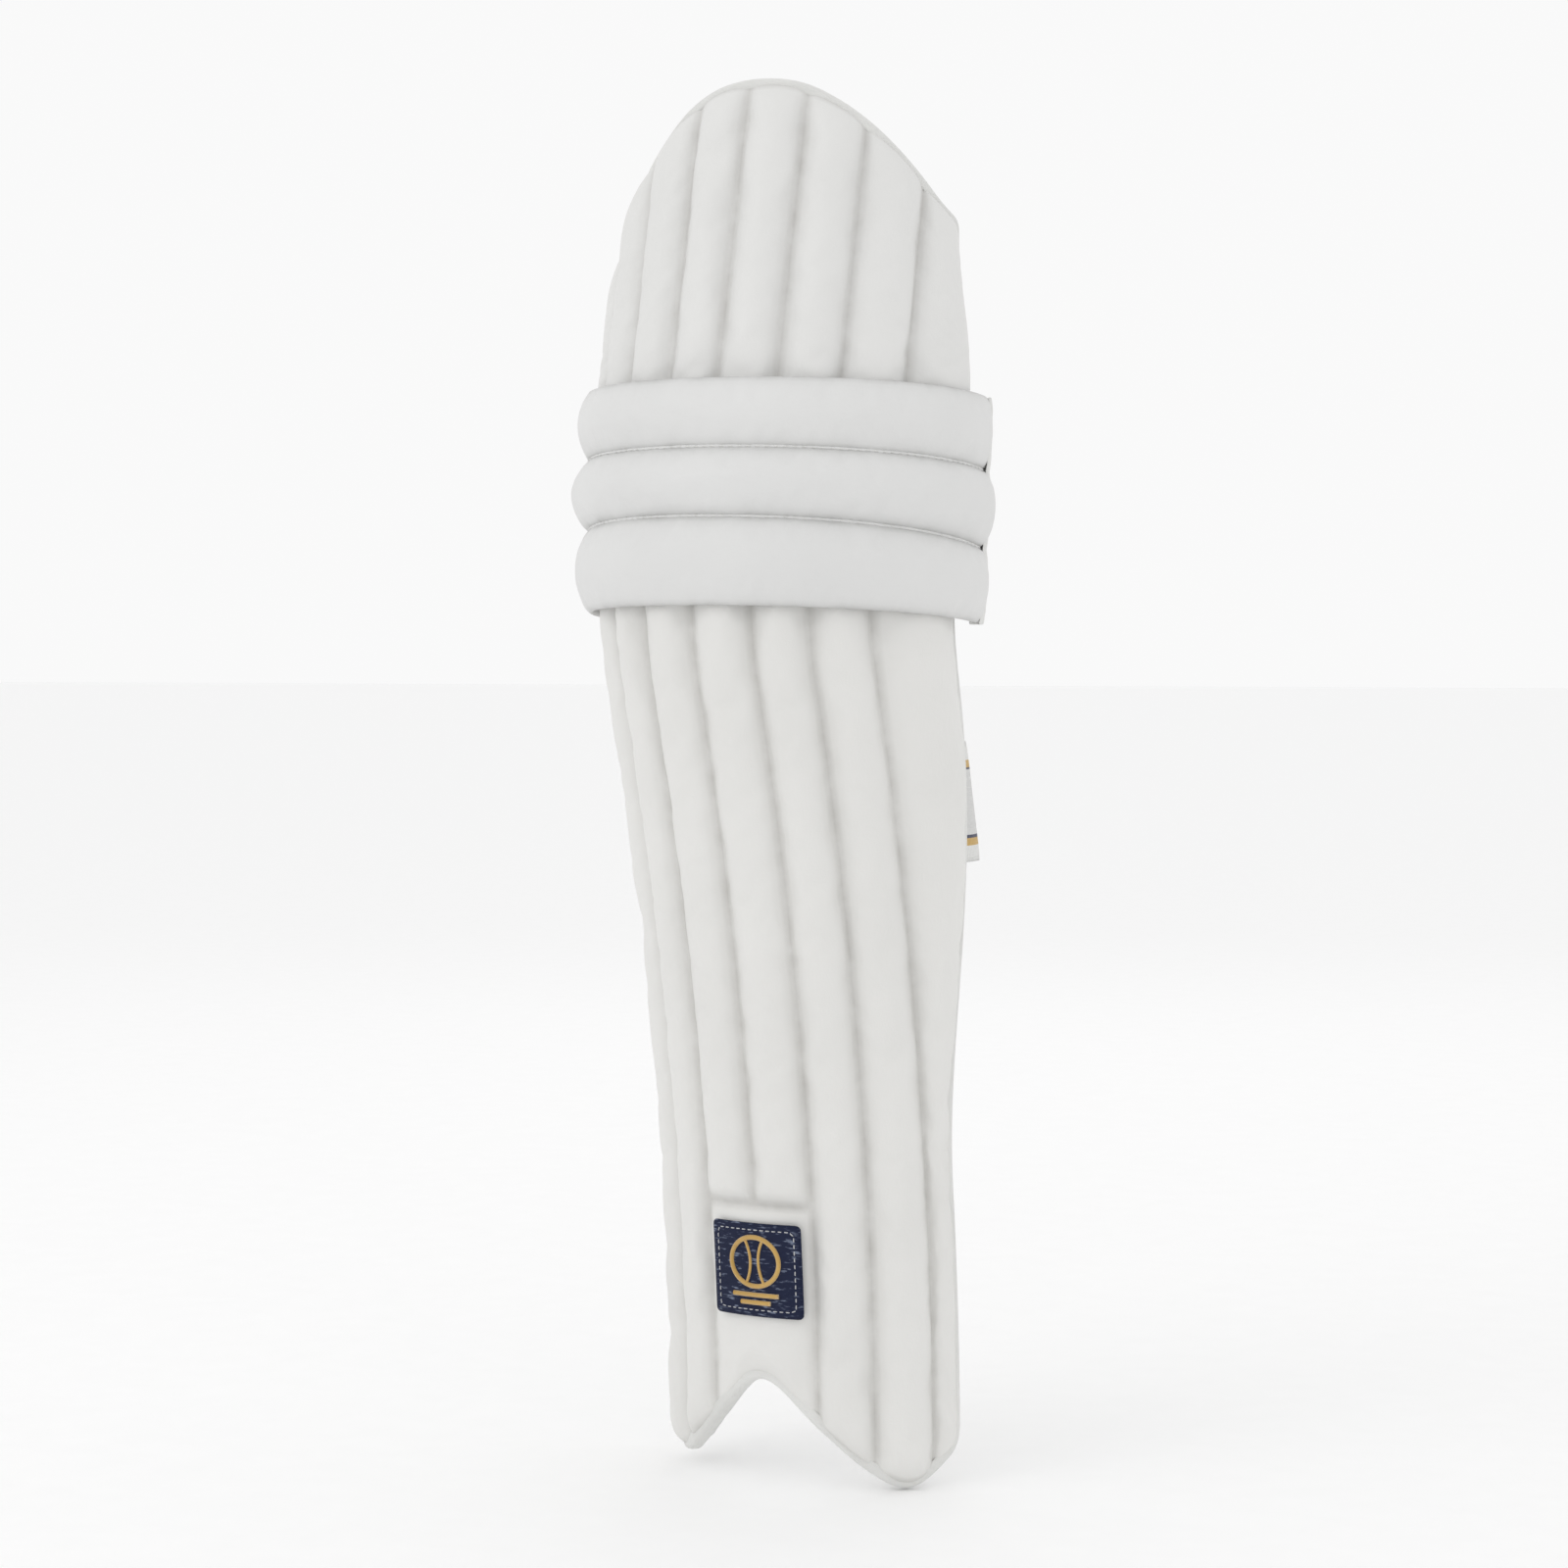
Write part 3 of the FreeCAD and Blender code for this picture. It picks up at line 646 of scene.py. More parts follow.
def knee_seam(n):
    """Strip that the two neighbouring rolls are sewn to."""
    verts, cols = [], 110
    for i in range(cols + 1):
        u = i / cols
        a = -104.0 * TRIM + 208.0 * u * (1 + TRIM) / 2
        z = knee_z(n, a)
        edge = knee_edge(z) + 0.4
        a = min(edge, max(-edge * TRIM, a))
        for r, dz in ((105.2, -2.6), (107.0, -1.3), (KNEE_GROOVE + 0.3, -0.3),
                      (KNEE_GROOVE + 0.3, 0.3), (107.0, 1.3), (105.2, 2.6)):
            verts.append(on_knee(r, a, z + dz))
    obj = make("knee_seam_%d" % n, verts, grid_faces(cols + 1, 6), SKIN_COOL)
    thicken(obj, 0.8, even=False)
    return obj


def close_back(obj, cols, rows, n):
    """Turns the open front of a roll into a closed tube with a flat back."""
    r_in = KNEE_IN_TOP if n == 0 else KNEE_IN
    bm = bmesh.new()
    bm.from_mesh(obj.data)
    bm.verts.ensure_lookup_table()
    layer = bm.verts.layers.float.get("seam")
    backs = []
    ends = [(bm.verts[i * rows].co / MM, bm.verts[i * rows + rows - 1].co / MM) for i in range(cols)]
    for low, top in ends:
        ring = []
        for k, v in enumerate((0.0, 0.3, 0.7, 1.0)):
            p = low.lerp(top, v)
            r = r_in if (n or p.z > 36.0) else KNEE_IN
            flat = Vector((p.x, p.y, 0)).normalized() * (r if k in (1, 2) else r + 0.6)
            ring.append(bm.verts.new(Vector((flat.x, flat.y, p.z)) * MM))
            # painted shade: a fixed seam value darkens the flat back of each roll a little
            ring[-1][layer] = 0.4
        backs.append(ring)
    bm.verts.ensure_lookup_table()
    for i in range(cols - 1):
        a, b = backs[i], backs[i + 1]
        lo, lo2 = bm.verts[i * rows], bm.verts[(i + 1) * rows]
        hi, hi2 = bm.verts[i * rows + rows - 1], bm.verts[(i + 1) * rows + rows - 1]
        bm.faces.new((lo, a[0], b[0], lo2))
        bm.faces.new((hi2, b[3], a[3], hi))
        for k in range(3):
            bm.faces.new((a[k], a[k + 1], b[k + 1], b[k]))
    for i in (0, cols - 1):
        loop = [bm.verts[i * rows + j] for j in range(rows)] + backs[i][::-1]
        bm.faces.new(loop)
    bmesh.ops.recalc_face_normals(bm, faces=bm.faces)
    bm.to_mesh(obj.data)
    bm.free()


# ---- linings
def lining(name, stops_at, ends, body_r, top, cols=56, rows=90):
    """Inner face of a panel; ends gives the low and high end of each column."""
    verts = []
    cap = 5
    for i in range(cols + 1):
        u = i / cols
        z_low, z_top = ends(u)
        edge_row = []
        for j in range(rows + 1):
            z = z_low + (z_top - z_low) * j / rows
            stops = stops_at(z)
            a = stops[0] + (stops[-1] - stops[0]) * u
            side = radians(min(a - stops[0], stops[-1] - a)) * body_r
            far = (z - z_low) if top else (z_top - z)
            d = min(side, far)
            thin = 1 - smooth01(d / EDGE_BAND)
            r = body_r + (EDGE_R - R_LEG) * thin
            quilt = 0.9 * abs(sin(radians(a) * 9.0)) ** 0.5 * (1 - thin)
            r -= quilt + 0.5 * n3(at(r, a, z), 0.03, 40.0)
            edge_row.append(at(r, a, z))
        near = ends(u)[1] if top else ends(u)[0]
        stops = stops_at(near)
        a = stops[0] + (stops[-1] - stops[0]) * u
        steps = [body_r + 4 + k * (R_FACE - R_LEG - 5) / (cap - 1) for k in range(cap)]
        closing = [at(r, a, near) for r in steps]
        verts += edge_row + closing if top else closing[::-1] + edge_row
    obj = make(name, verts, grid_faces(cols + 1, rows + 1 + cap, flip=True), LINING)
    thicken(obj, 1.2, offset=-1.0, even=False)
    return obj


def shin_ends(u):
    a = -shin_edge(-500.0) * TRIM * (1 - u) + shin_edge(-500.0) * u
    return arch_z(R_FACE * sin(radians(a))) + 1.0, SHIN_TOP


def flap_ends(u):
    z = 140.0
    for _ in range(12):
        a = -flap_edge(z) * TRIM * (1 - u) + flap_edge(z) * u
        z = 0.5 * z + 0.5 * dome_z(R_FLAP_FACE * sin(radians(a)))
    return FLAP_BOTTOM, z - 1.0


# ---- edge tape
def relax(path, times):
    for _ in range(times):
        inner = [p.lerp((a + b) / 2, 0.5) for a, p, b in zip(path, path[1:], path[2:])]
        path = [path[0]] + inner + [path[-1]]
    return path


def resample(path, step):
    total = [0.0]
    for a, b in zip(path, path[1:]):
        total.append(total[-1] + (b - a).length)
    count = max(2, int(total[-1] / step))
    out, k = [], 0
    for i in range(count + 1):
        d = total[-1] * i / count
        while k < len(path) - 2 and total[k + 1] < d:
            k += 1
        out.append(path[k].lerp(path[k + 1], (d - total[k]) / max(1e-6, total[k + 1] - total[k])))
    return out


def radial(p):
    return Vector((p.x, p.y - centre_y(p.z), 0)).normalized()


def tape(name, path, side, front, back, wide=4.4):
    """Folded tape over a panel's edge; path runs on the front face."""
    proud, wander = 0.9, 0.25
    path = relax(resample(path, 2.2), 6)
    verts = []
    for i, p in enumerate(path):
        t = (path[min(i + 1, len(path) - 1)] - path[max(i - 1, 0)]).normalized()
        n = radial(p)
        out = (t.cross(n) * side).normalized()
        q = p - n * (front - back)
        w = wide + wander * n3(p, 0.12, 50.0) * 2
        ridge = 0.25 * n3(p, 0.5, 60.0)
        shape = [(p, -w, 0.35), (p, -w * 0.6, proud + ridge), (p, -0.4, proud + ridge), (p, 0.9, proud * 0.4),
                 (p, 1.7, -1.3), (q, 1.7, 1.3), (q, 0.9, -proud * 0.4), (q, -0.4, -proud),
                 (q, -w * 0.6, -proud), (q, -w, -0.35)]
        verts += [base + out * a + n * b for base, a, b in shape]
    obj = make(name, verts, grid_faces(len(path), 10, flip=side < 0), TAPE)
    thicken(obj, 0.7, offset=-1.0)
    subdivide(obj)
    return obj


def shin_border():
    left = [at(R_FACE + 0.6, -shin_edge(z) * TRIM, z) for z in range(-44, -497, -4)]
    a0, a1 = -shin_edge(-500.0) * TRIM, shin_edge(-500.0)
    under = []
    for k in range(1, 80):
        a = a0 + (a1 - a0) * k / 80
        under.append(at(R_FACE + 0.6, a, arch_z(R_FACE * sin(radians(a)))))
    right = [at(R_FACE + 0.6, shin_edge(z), z) for z in range(-500, -42, 4)]
    return left + under + right


def flap_border():
    z_in, z_out = flap_ends(0.0)[1], flap_ends(1.0)[1]
    up = [FLAP_BOTTOM + (z_in - FLAP_BOTTOM) * k / 24 for k in range(24)]
    down = [z_out + (FLAP_BOTTOM - z_out) * k / 24 for k in range(1, 25)]
    left = [at(R_FLAP_FACE + 0.6, -flap_edge(z) * TRIM, z) for z in up]
    over = []
    for k in range(81):
        z = flap_ends(k / 80)[1] + 1.0
        a = -flap_edge(z) * TRIM * (1 - k / 80) + flap_edge(z) * k / 80
        over.append(at(R_FLAP_FACE + 0.6, a, z))
    right = [at(R_FLAP_FACE + 0.6, flap_edge(z), z) for z in down]
    return left + over + right


def knee_tape(name, sign):
    """Bound end of the knee block."""
    fit = 1.0 if sign > 0 else TRIM
    verts = []
    count = 64
    low, high = KNEE_TAPE_Z
    for i in range(count + 1):
        z = low + (high - low) * i / count
        a = sign * knee_edge(z) * fit
        bump_up = max(0.0, max(swell((z - knee_z(n + 1, a)) / (knee_z(n, a) - knee_z(n + 1, a)), 0.5)
                               if knee_z(n + 1, a) < z < knee_z(n, a) else 0.0 for n in range(3)))
        crumple = 0.9 * n3((a, z, 0), 0.11, 70.0) + 0.4 * n3((a, z, 0), 0.3, 71.0)
        rf = KNEE_GROOVE + 0.6 + 1.6 * bump_up + crumple * 0.6
        step = degrees(1.0 / KNEE_GROOVE) * sign
        out = 1.3 + crumple * 0.5
        shape = [(rf + 0.5, -5.0), (rf + 1.2, -3.0), (rf + 1.3, -0.5), (rf + 0.6, out), (rf - 1.4, out + 0.7),
                 (KNEE_IN, out + 0.7), (103.0, out), (102.8, -0.5), (103.2, -4.0)]
        verts += [on_knee(r, a + d * step, z) for r, d in shape]
    obj = make(name, verts, grid_faces(count + 1, 9, flip=sign > 0), TAPE)
    thicken(obj, 0.6, offset=0.0)
    subdivide(obj)
    return obj


# ---- stitches
def stitches(name, runs, material=None, length=3.0, pitch=4.7, radius=0.33):
    """Short raised threads along each run of (point, outward normal)."""
    verts, faces = [], []
    ends = ((-0.5, -0.25, 0.55), (-0.3, 0.15, 1.0), (0.3, 0.15, 1.0), (0.5, -0.25, 0.55))
    for run in runs:
        pts = resample([p for p, _ in run], pitch)
        normals = [min(run, key=lambda r: (r[0] - p).length_squared)[1] for p in pts]
        for i in range(len(pts) - 1):
            t = (pts[i + 1] - pts[i]).normalized()
            up = normals[i]
            w = t.cross(up).normalized()
            base = len(verts)
            mid = pts[i].lerp(pts[i + 1], 0.5)
            for along, lift, size in ends:
                c = mid + t * (along * length) + up * lift
                for m in range(5):
                    ang = 2 * pi * m / 5
                    verts.append(c + w * (cos(ang) * radius * size) + up * (sin(ang) * radius * size))
            for k in range(3):
                for m in range(5):
                    a, b = base + k * 5 + m, base + k * 5 + (m + 1) % 5
                    faces.append((a, b, b + 5, a + 5))
            faces.append(tuple(base + m for m in range(5))[::-1])
            faces.append(tuple(base + 15 + m for m in range(5)))
    return make(name, verts, faces, material or THREAD)


def shin_stitch_runs():
    runs = []
    for a in [-58, -38, -20, 20, 38, 58]:
        z0 = arch_z(R_FACE * sin(radians(a))) + 7
        zs = [z0 + (-72 - z0) * k / 90 for k in range(91)]
        runs.append([(at(R_FACE + 0.2, a, z), radial(at(R_FACE, a, z))) for z in zs])
    zs = [PANEL_TOP + (-72 - PANEL_TOP) * k / 60 for k in range(61)]
    runs.append([(at(R_FACE + 0.2, 0, z), radial(at(R_FACE, 0, z))) for z in zs])
    runs.append([(at(R_FACE + 0.2, a, PANEL_TOP), radial(at(R_FACE, a, PANEL_TOP))) for a in range(-19, 20)])
    return runs


def flap_stitch_runs():
    runs = []
    for a in [-67.5, -46, -27, -8.5, 8.5, 27, 46, 67.5]:
        z1 = dome_z(R_FLAP_FACE * sin(radians(a))) - 6
        zs = [60 + (z1 - 60) * k / 40 for k in range(41)]
        runs.append([(at(R_FLAP_FACE + 0.2, a, z), radial(at(R_FLAP_FACE, a, z))) for z in zs])
    return runs


def knee_stitch_runs():
    runs = []
    for n in (1, 2):
        run = []
        for a in range(-94, 102, 2):
            p = on_knee(KNEE_GROOVE + 0.3, a, knee_z(n, a))
            run.append((p, Vector((p.x, p.y, 0)).normalized()))
        runs.append(run)
    return runs


# ---- cushions inside
def pillow(name, r_out, depth, a0, a1, z0, z1, place, sag, quilt=0, flat=4, cols=26, rows=40):
    """Closed cushion with a flat outer face on the lining and a crowned inner one."""
    front, back = [], []
    for i in range(cols + 1):
        u = i / cols
        for j in range(rows + 1):
            v = j / rows
            full = (max(0.0, 1 - abs(2 * u - 1) ** flat) ** sag) * (max(0.0, 1 - (2 * v - 1) ** 12) ** sag)
            a, z = a0 + (a1 - a0) * u, z0 + (z1 - z0) * v
            dip = 0.0
            if quilt:
                dip = 1.8 * (abs(cos(pi * u * quilt)) ** 8 + abs(cos(pi * v * quilt)) ** 8) * full
            t = depth * full - min(dip, depth * 0.4)
            p = place(r_out - max(0.0, t), a, z)
            t += 0.6 * n3(p, 0.05, 80.0) * full
            front.append(place(r_out - max(0.0, t), a, z))
            back.append(place(r_out, a, z))
    obj = make(name, front + back, two_sided(cols + 1, rows + 1, flip=True), LINING)
    turn_outwards(obj, merge=0.05)
    held = []
    for v in obj.data.vertices:
        p = v.co / MM
        r = hypot(p.x, p.y - (centre_y(p.z) if place is at else 0.0))
        if r > r_out - 0.3:
            held.append(v.index)
    inflate(obj, held, 2.0, grow=0.05)
    subdivide(obj)
    return obj


# ---- straps
class Strap:
    def __init__(self, name, z_mid, width, face_r, edge_in, slack):
        self.name, self.width, self.slack = name, width, slack
        self.z0 = z_mid - width / 2
        self.y0 = centre_y(self.z0)
        self.lean = (centre_y(z_mid + width / 2) - self.y0) / width
        web, bar, fit = 1.8, 2.0, 0.4
        self.r_bar = face_r - 0.4 - web + bar + fit + web - 0.2
        self.r_web = self.r_bar - 3.2
        self.a_front = -(edge_in + degrees((bar + fit + web + 5.0) / self.r_bar))
        self.a_rear = self.a_front - degrees(20.0 / self.r_bar)
        self.r_hinge = self.r_bar + 3.2 + web / 2
        self.a_hinge = self.a_rear - degrees((web / 2 + 0.35) / self.r_hinge)
        self.a_end = self.a_hinge - degrees(TAIL_LENGTH / self.r_hinge)
        self.r_tail = self.r_web + 0.2 + 2 * 1.7 + 0.35 + 0.2

    def bow(self, a, start, reach=78.0):
        """How far the slack strap stands off the circle behind the wing."""
        t = min(1.0, max(0.0, (a - start) / reach))
        return self.slack * sin(pi * t) ** 2

    def spot(self, r, a, w):
        return Vector((r * sin(radians(a)),
                       self.y0 + self.lean * w * self.width - r * cos(radians(a)), self.z0 + w * self.width))

    def strip(self, name, line, thick, material, inset=0.0, cols=14, wave=0.0):
        """Webbing along a plan line of (r, angle), thick to both sides of it."""
        flat = [self.spot(r, a, 0.0) for r, a in line]
        flat = resample(flat, 2.0)
        verts, along = [], [0.0]
        for a, b in zip(flat, flat[1:]):
            along.append(along[-1] + (b - a).length)
        rise = Vector((0, self.lean * self.width, self.width))
        pad = inset / self.width
        for side in (1, -1):
            for i, p in enumerate(flat):
                t = (flat[min(i + 1, len(flat) - 1)] - flat[max(i - 1, 0)]).normalized()
                n = Vector((t.y, -t.x, 0)) * side
                for k in range(cols + 1):
                    w = pad + (1 - 2 * pad) * k / cols
                    edge = min(k, cols - k) / cols
                    half = thick / 2 * (0.55 + 0.45 * min(1.0, edge * 12))
                    drift = wave * n3((along[i], w * 30, 5.0), 0.05, 90.0)
                    verts.append(p + rise * w + n * (half + side * drift))
        size = len(flat) * (cols + 1)
        faces = two_sided(len(flat), cols + 1) + rim_faces(len(flat), cols + 1)
        obj = make(name, verts, faces, material)
        turn_outwards(obj)
        layer = obj.data.uv_layers.new(name="strap")
        for poly in obj.data.polygons:
            for loop in poly.loop_indices:
                v = obj.data.loops[loop].vertex_index % size
                i, k = divmod(v, cols + 1)
                layer.data[loop].uv = (along[i] / 10.0, pad + (1 - 2 * pad) * k / cols)
        return obj

    def around(self, r_c, a_c, radius, start, end, count=12):
        """Arc about a bar in plan; angles from the outward direction towards the front."""
        c = self.spot(r_c, a_c, 0.0)
        out = Vector((sin(radians(a_c)), -cos(radians(a_c)), 0))
        front = Vector((-out.y, out.x, 0))
        pts = []
        for k in range(count + 1):
            t = radians(start + (end - start) * k / count)
            p = c + out * (radius * cos(t)) + front * (radius * sin(t))
            d = p - Vector((0, self.y0, self.z0))
            pts.append((hypot(d.x, d.y), degrees(atan2(d.x, -d.y))))
        return pts

    def cross_stitch(self, name, r, a0, a1, w0, w1):
        corners = [(a0, w0), (a1, w0), (a1, w1), (a0, w1), (a0, w0), (a1, w1)]
        runs = []
        pairs = list(zip(corners, corners[1:])) + [((a0, w1), (a1, w0))]
        for (aa, wa), (ab, wb) in pairs:
            run = []
            for k in range(13):
                t = k / 12
                p = self.spot(r, aa + (ab - aa) * t, wa + (wb - wa) * t)
                n = Vector((p.x, p.y - self.y0, 0)).normalized()
                run.append((p, n))
            runs.append(run)
        return stitches(name, runs, length=2.2, pitch=3.2, radius=0.28)


def build_strap(name, body, tail_body, z_mid, width, face_r, edge_out, edge_in, slack):
    s = Strap(name, z_mid, width, face_r, edge_in, slack)
    mid = s.r_web - 0.9
    rear = s.a_rear
    line = [(mid + (1.2 if k < 3 else 0.0), 64.0 + (edge_out - 64.0) * k / 6) for k in range(7)]
    turns = [edge_out + (360.0 + rear - edge_out) * k / 60 for k in range(1, 61)]
    line += [(mid + s.bow(a, edge_out), a) for a in turns]
    line += s.around(s.r_bar, rear, 4.1, 180.0, 4.0)
    band = s.strip(name + "_strap", line, 1.8, WEBBING, wave=0.25)
    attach(band, body)
    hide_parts(name + "_band")
    x = s.cross_stitch(name + "_band_stitches", s.r_web - 1.85, 66.0, 79.0, 0.12, 0.88)
    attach(x, body)
    r_tab = s.r_bar - 3.3
    tab_line = [(r_tab, -63.5 + (s.a_front + 63.5) * k / 16) for k in range(17)]
    tab_line += s.around(s.r_bar, s.a_front, 3.3, 180.0, 360.0)[1:]
    tab_line += s.around(s.r_bar, s.a_front, 3.3, 0.0, 100.0)[1:]
    tab = s.strip(name + "_ring_tab", tab_line, 1.7, WEBBING, inset=1.0)
    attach(tab, body)
    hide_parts(name + "_tab")
    tail_line = [(s.r_hinge, s.a_hinge), (s.r_hinge - 0.5, s.a_hinge - 3.0), (s.r_tail + 1.6, s.a_hinge - 6.5)]
    tail_line += [(s.r_tail + 0.9, s.a_hinge - 9.0 + (s.a_end - s.a_hinge + 9.0) * k / 30) for k in range(31)]
    tail = s.strip(name + "_strap_tail", tail_line, 1.8, WEBBING, wave=0.2)
    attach(tail, tail_body)
    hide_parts(name + "_tail")
    ts = s.cross_stitch(name + "_tail_stitches", s.r_tail + 1.85, s.a_end + 4.0, s.a_end + 17.0, 0.12, 0.88)
    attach(ts, tail_body)
    near = s.a_hinge - 9.0
    hook_line = [(s.r_tail - 1.1, near - 3 + (s.a_end - near + 6) * k / 24) for k in range(25)]
    hook = s.strip(name + "_hook_patch", hook_line, 1.6, FASTENER, inset=3.0)
    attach(hook, tail_body)
    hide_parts(name + "_hook")
    loop_line = [(s.r_web + 1.05, near - 1 + (s.a_end - near - 13) * k / 30) for k in range(31)]
    loop = s.strip(name + "_loop_patch", loop_line, 1.6, FASTENER, inset=3.0)
    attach(loop, body)
    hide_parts(name + "_loop")
    ring = nodes_by_name[name + "_ring"]
    ring.data.materials.clear()
    ring.data.materials.append(RING)


# ---- badge
def badge():
    box_lo, box_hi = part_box("badge")
    z0, z1 = box_lo.z / MM, box_hi.z / MM
    r = R_FACE + PANEL_SWELL + 0.9
    a0, a1 = 1.5 - 15.0, 1.5 + 15.0

    def place(u, v, lift):
        a, z = a0 + (a1 - a0) * u, z0 + 1.5 + (z1 - z0 - 3.0) * v
        return at(r + lift, a, z)

    def rounded(u, v, k=0.04):
        du, dv = max(0.0, abs(u - 0.5) - 0.5 + k), max(0.0, abs(v - 0.5) - 0.5 + k)
        d = hypot(du, dv)
        if d <= k:
            return u, v
        f = k / d
        return (0.5 + copysign(0.5 - k + du * f, u - 0.5) if du else u,
                0.5 + copysign(0.5 - k + dv * f, v - 0.5) if dv else v)

    n = 40
    front, back = [], []
    for i in range(n + 1):
        for j in range(n + 1):
            u, v = rounded(i / n, j / n)
            front.append(place(u, v, 2.0 + 0.15 * n3((u * 40, v * 40, 1), 0.2, 3)))
            back.append(place(u, v, 0.3))
    faces = two_sided(n + 1, n + 1) + rim_faces(n + 1, n + 1)
    patch = make("badge_patch", front + back, faces, NAVY)
    outline = [(k / n, 0.0) for k in range(n)] + [(1.0, k / n) for k in range(n)]
    outline += [(1 - k / n, 1.0) for k in range(n)] + [(0.0, 1 - k / n) for k in range(n)]
    edge = [rounded(u, v) for u, v in outline]
    border = tube("badge_border", [place(u, v, 1.3) for u, v in edge], 0.8, NAVY, closed=True)
    inset = [(0.5 + (u - 0.5) * 0.88, 0.5 + (v - 0.5) * 0.88) for u, v in edge + edge[:1]]
    sewn = [(place(u, v, 2.05), radial(place(u, v, 2.0))) for u, v in inset]
    parts = [patch, border, stitches("badge_stitches", [sewn], BORDER, 2.4, 3.6, 0.3)]
    # a plain cricket ball with its seam, over two bars
    turns = [2 * pi * k / 48 for k in range(48)]
    ring = [(0.5 + 0.27 * cos(t), 0.59 + 0.27 * sin(t)) for t in turns]
    parts.append(tube("badge_ball", [place(u, v, 2.2) for u, v in ring], 1.35, GOLD, closed=True))
    for side in (-1, 1):
        arc = []
        for k in range(17):
            t = -1 + 2 * k / 16
            arc.append((0.5 + side * (0.045 + 0.06 * t * t), 0.59 + 0.25 * t))
        name = "badge_seam_left" if side < 0 else "badge_seam_right"
        parts.append(tube(name, [place(u, v, 2.2) for u, v in arc], 0.85, GOLD))
    for k, half in enumerate((0.26, 0.17)):
        v = 0.225 - 0.085 * k
        bar = [place(0.5 - half + 2 * half * m / 16, v, 2.2) for m in range(17)]
        parts.append(tube("badge_bar_%d" % (k + 1), bar, 1.3, GOLD))
    for p in parts:
        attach(p, "shin")
    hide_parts("badge")


def tube(name, path, radius, material, closed=False, sides=8):
    verts, faces = [], []
    count = len(path)
    for i, p in enumerate(path):
        a = path[(i - 1) % count] if closed else path[max(0, i - 1)]
        b = path[(i + 1) % count] if closed else path[min(count - 1, i + 1)]
        t = (b - a).normalized()
        up = radial(p)
        w = t.cross(up).normalized()
        for m in range(sides):
            ang = 2 * pi * m / sides
            verts.append(p + w * (cos(ang) * radius) + up * (sin(ang) * radius * 0.8))
    for i in range(count if closed else count - 1):
        j = (i + 1) % count
        for m in range(sides):
            k = (m + 1) % sides
            faces.append((i * sides + m, i * sides + k, j * sides + k, j * sides + m))
    if not closed:
        faces.append(tuple(range(sides)))
        faces.append(tuple((count - 1) * sides + m for m in range(sides))[::-1])
    return make(name, verts, faces, material)


# ---- gussets
def gusset(name, z0, z1, node, folds=2):
    """Folded cloth strip across a flex line."""
    cols, rows = 80, 12
    verts = []
    for i in range(cols + 1):
        ang = -84.0 + 168.0 * i / cols
        for j in range(rows + 1):
            v = j / rows
            r = 96.0 - 1.6 * sin(pi * v * folds) ** 2
            verts.append(on_knee(r, ang, z0 + (z1 - z0) * v))
    obj = make(name, verts, grid_faces(cols + 1, rows + 1), LINING)
    thicken(obj, 0.6)
    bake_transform(obj)
    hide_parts(node)
    return obj


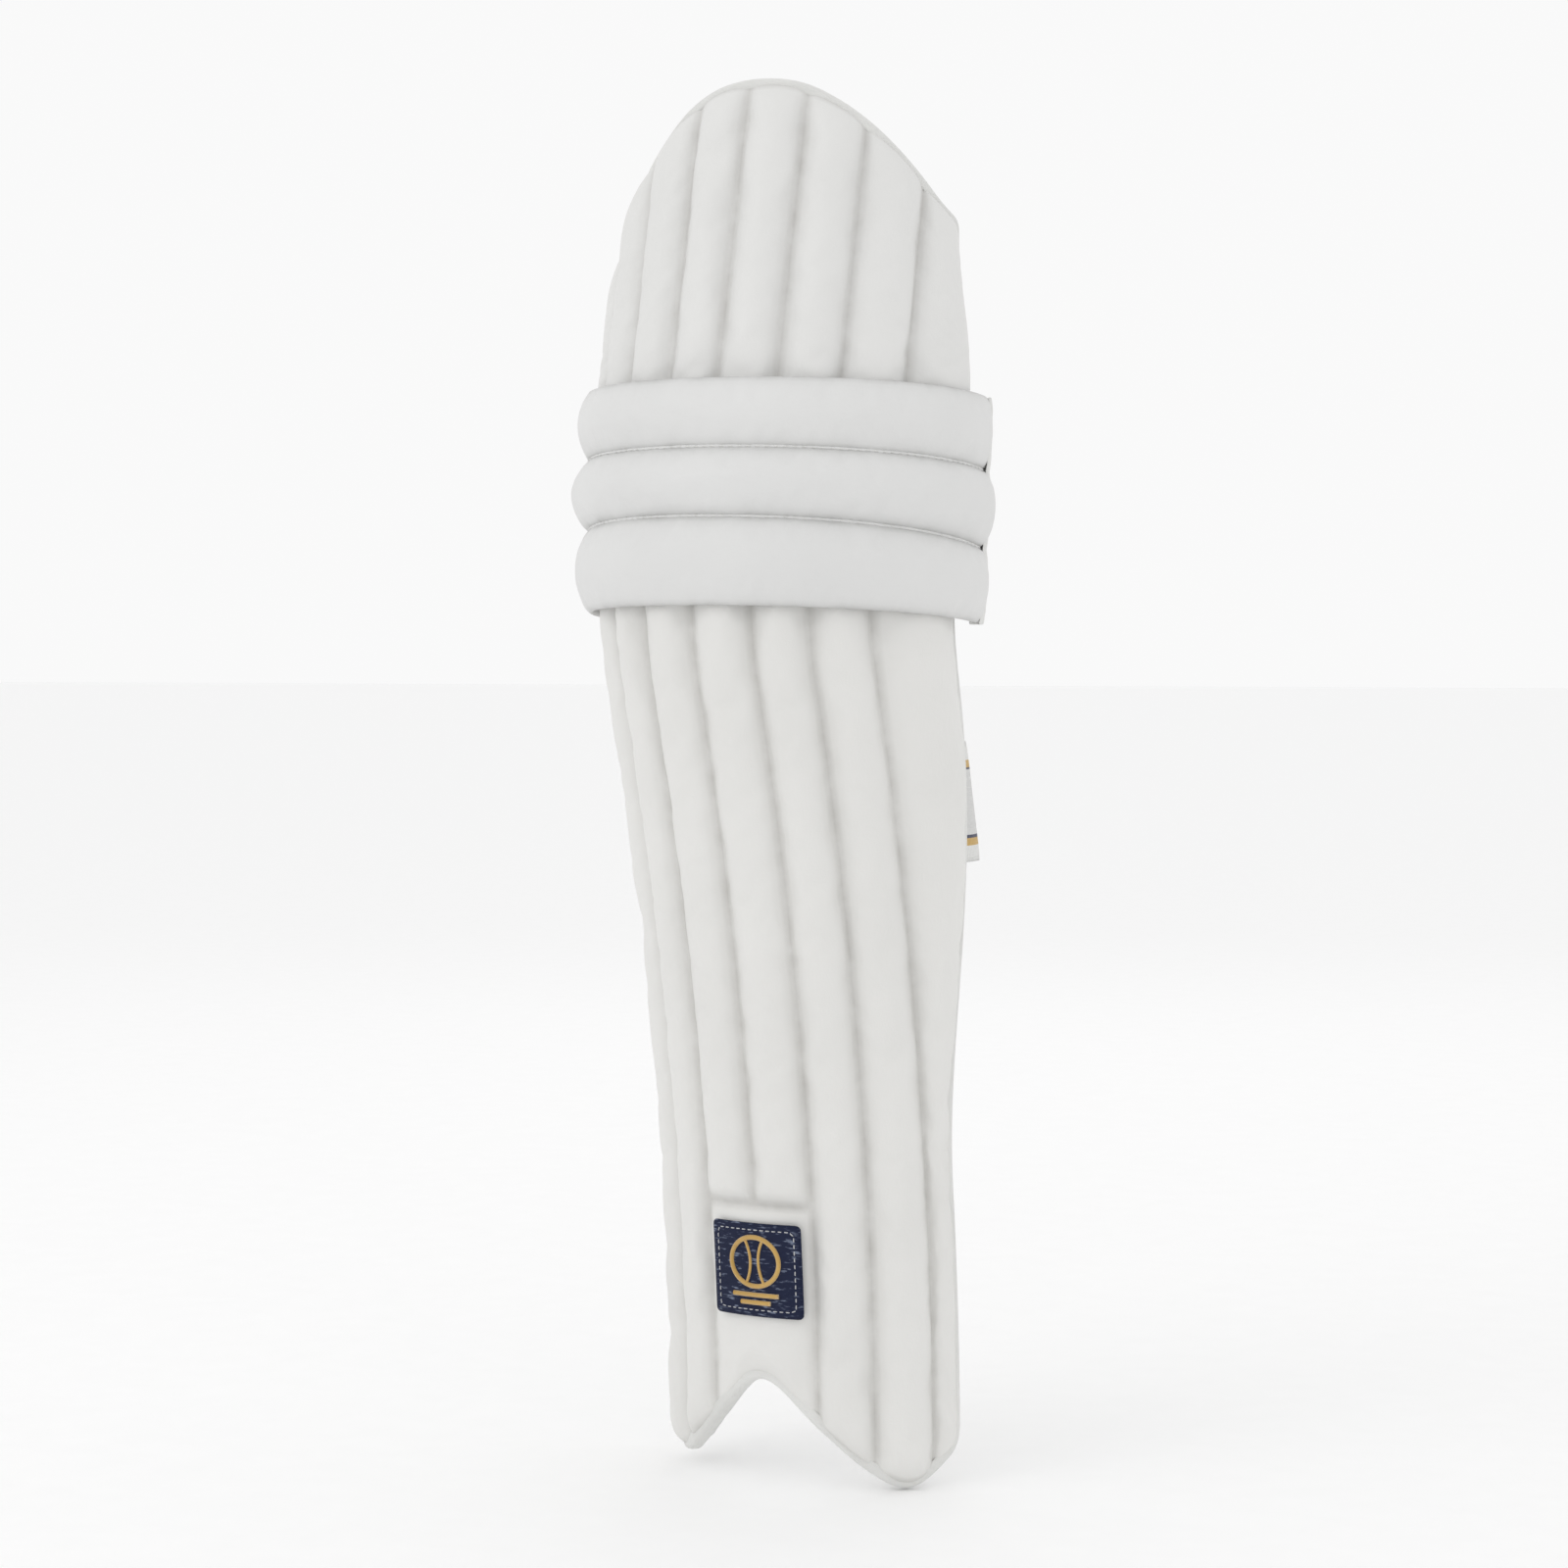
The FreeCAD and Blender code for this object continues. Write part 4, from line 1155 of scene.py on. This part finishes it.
def main():
    face = shin_face()
    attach(face, "shin")
    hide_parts("shin_cover", "instep_cover", "instep_pad", "shin_base_foam",
                *["shin_channel_%d" % n for n in range(1, 9)])
    top = flap_face()
    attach(top, "top_flap")
    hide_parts("flap_cover", "flap_base_foam", *["flap_channel_%d" % n for n in range(1, 10)])
    for n in range(3):
        roll = knee_roll(n)
        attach(roll, "knee_block")
        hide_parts("knee_roll_core_%d" % (n + 1), "knee_roll_cover_%d" % (n + 1))
    for n in (1, 2):
        strip = knee_seam(n)
        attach(strip, "knee_block")
    inner = lining("shin_lining_cloth", shin_stops, shin_ends, R_LEG, True)
    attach(inner, "shin")
    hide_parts("shin_lining")
    inner = lining("flap_lining_cloth", flap_stops, flap_ends, R_LEG + 3, False, rows=50)
    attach(inner, "top_flap")
    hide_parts("flap_lining")
    edge = tape("shin_edge_tape", shin_border(), 1, R_FACE, EDGE_R)
    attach(edge, "shin")
    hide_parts("shin_binding")
    edge = tape("flap_edge_tape", flap_border(), -1, R_FLAP_FACE, EDGE_R + 3, wide=3.2)
    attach(edge, "top_flap")
    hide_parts("flap_binding")
    for name, sign, node in (("knee_end_tape_inner", 1, "knee_binding_inner"),
                             ("knee_end_tape_outer", -1, "knee_binding_outer")):
        end = knee_tape(name, sign)
        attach(end, "knee_block")
        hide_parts(node)
    for name, runs, body in (("shin_stitches", shin_stitch_runs(), "shin"),
                             ("flap_stitches", flap_stitch_runs(), "top_flap"),
                             ("knee_stitches", knee_stitch_runs(), "knee_block")):
        thread = stitches(name, runs)
        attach(thread, body)
    liner = pillow("knee_liner", 103.2, 9.0, -89.0, 89.0, -36.0, 34.0, on_knee, sag=0.2,
                   cols=60, rows=24)
    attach(liner, "knee_block")
    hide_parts("knee_backing", "knee_base_foam")
    cup = pillow("knee_cushion", 94.0, 9.5, -41.0, 41.0, -31.0, 29.0, on_knee, sag=0.5,
                 quilt=3, cols=48, rows=36)
    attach(cup, "knee_block")
    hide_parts("knee_cup")
    for name, sign in (("bolster_inner", 1), ("bolster_outer", -1)):
        b = pillow(name + "_cushion", 79.6, 14.5, sign * 31.0, sign * 60.0, -428.0, -92.0, at, sag=0.7,
                   flat=2, rows=80)
        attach(b, "shin")
        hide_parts(name)
    gusset("gusset_lower_cloth", SHIN_TOP, -36.2, "gusset_lower")
    gusset("gusset_upper_cloth", 34.2, FLAP_BOTTOM, "gusset_upper")
    build_strap("calf", "shin", "calf_tail", -163.0, 65.0, 80.0, 86.8, 92.5, 9.5)
    build_strap("knee", "knee_block", "knee_tail", -8.0, 50.0, 94.0, 90.0, 90.0, 0.0)
    badge()
    for name in ("shin_canes", "flap_canes"):
        nodes_by_name[name].data.materials.clear()
        nodes_by_name[name].data.materials.append(CANE)


def stage_and_camera():
    world = bpy.data.worlds.new("studio")
    bpy.context.scene.world = world
    world.use_nodes = True
    world.node_tree.nodes["Background"].inputs[0].default_value = (1, 1, 1, 1)
    world.node_tree.nodes["Background"].inputs[1].default_value = 0.95
    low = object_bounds()[0][2]
    half = 60000
    corners = [Vector((half * i, half * j, low / MM - 1.0)) for i, j in ((-1, -1), (1, -1), (1, 1), (-1, 1))]
    paint = mat_plain("floor_paint", (0.97, 0.97, 0.97), (0.955, 0.955, 0.955), 0.85, 30.0)
    floor = make("floor", corners, [(0, 1, 2, 3)], paint)
    for name, place, size, power, aim in (("key", (-0.9, -2.3, 1.5), 1.6, 7.0, (0, 0, -0.1)),
                                          ("fill", (2.4, -1.6, 0.7), 1.8, 0.6, (0, 0, -0.15)),
                                          ("rim", (-1.0, 2.2, 1.6), 1.5, 3.0, (0, 0, 0))):
        data = bpy.data.lights.new(name, "AREA")
        data.energy = power
        data.size = size
        lamp = bpy.data.objects.new(name, data)
        lamp.location = place
        lamp.rotation_euler = (Vector(place) - Vector(aim)).to_track_quat("Z", "Y").to_euler()
        bpy.context.scene.collection.objects.link(lamp)
    az, el, dist = radians(32.0), radians(2.0), 1.8
    sensor, spread, spread_at = 36.0, 0.516, 1.6
    back = Vector((sin(az) * cos(el), -cos(az) * cos(el), sin(el)))
    right = Vector((cos(az), sin(az), 0))
    target = Vector((0, -0.047, -0.1518)) + right * 0.0219
    cam = bpy.data.cameras.new("camera")
    cam.lens = sensor / spread * dist / spread_at
    eye = bpy.data.objects.new("camera", cam)
    eye.location = target + back * dist
    eye.rotation_euler = back.to_track_quat("Z", "Y").to_euler()
    bpy.context.scene.collection.objects.link(eye)
    bpy.context.scene.camera = eye
    bpy.context.scene.view_settings.view_transform = "Standard"


main()
stage_and_camera()
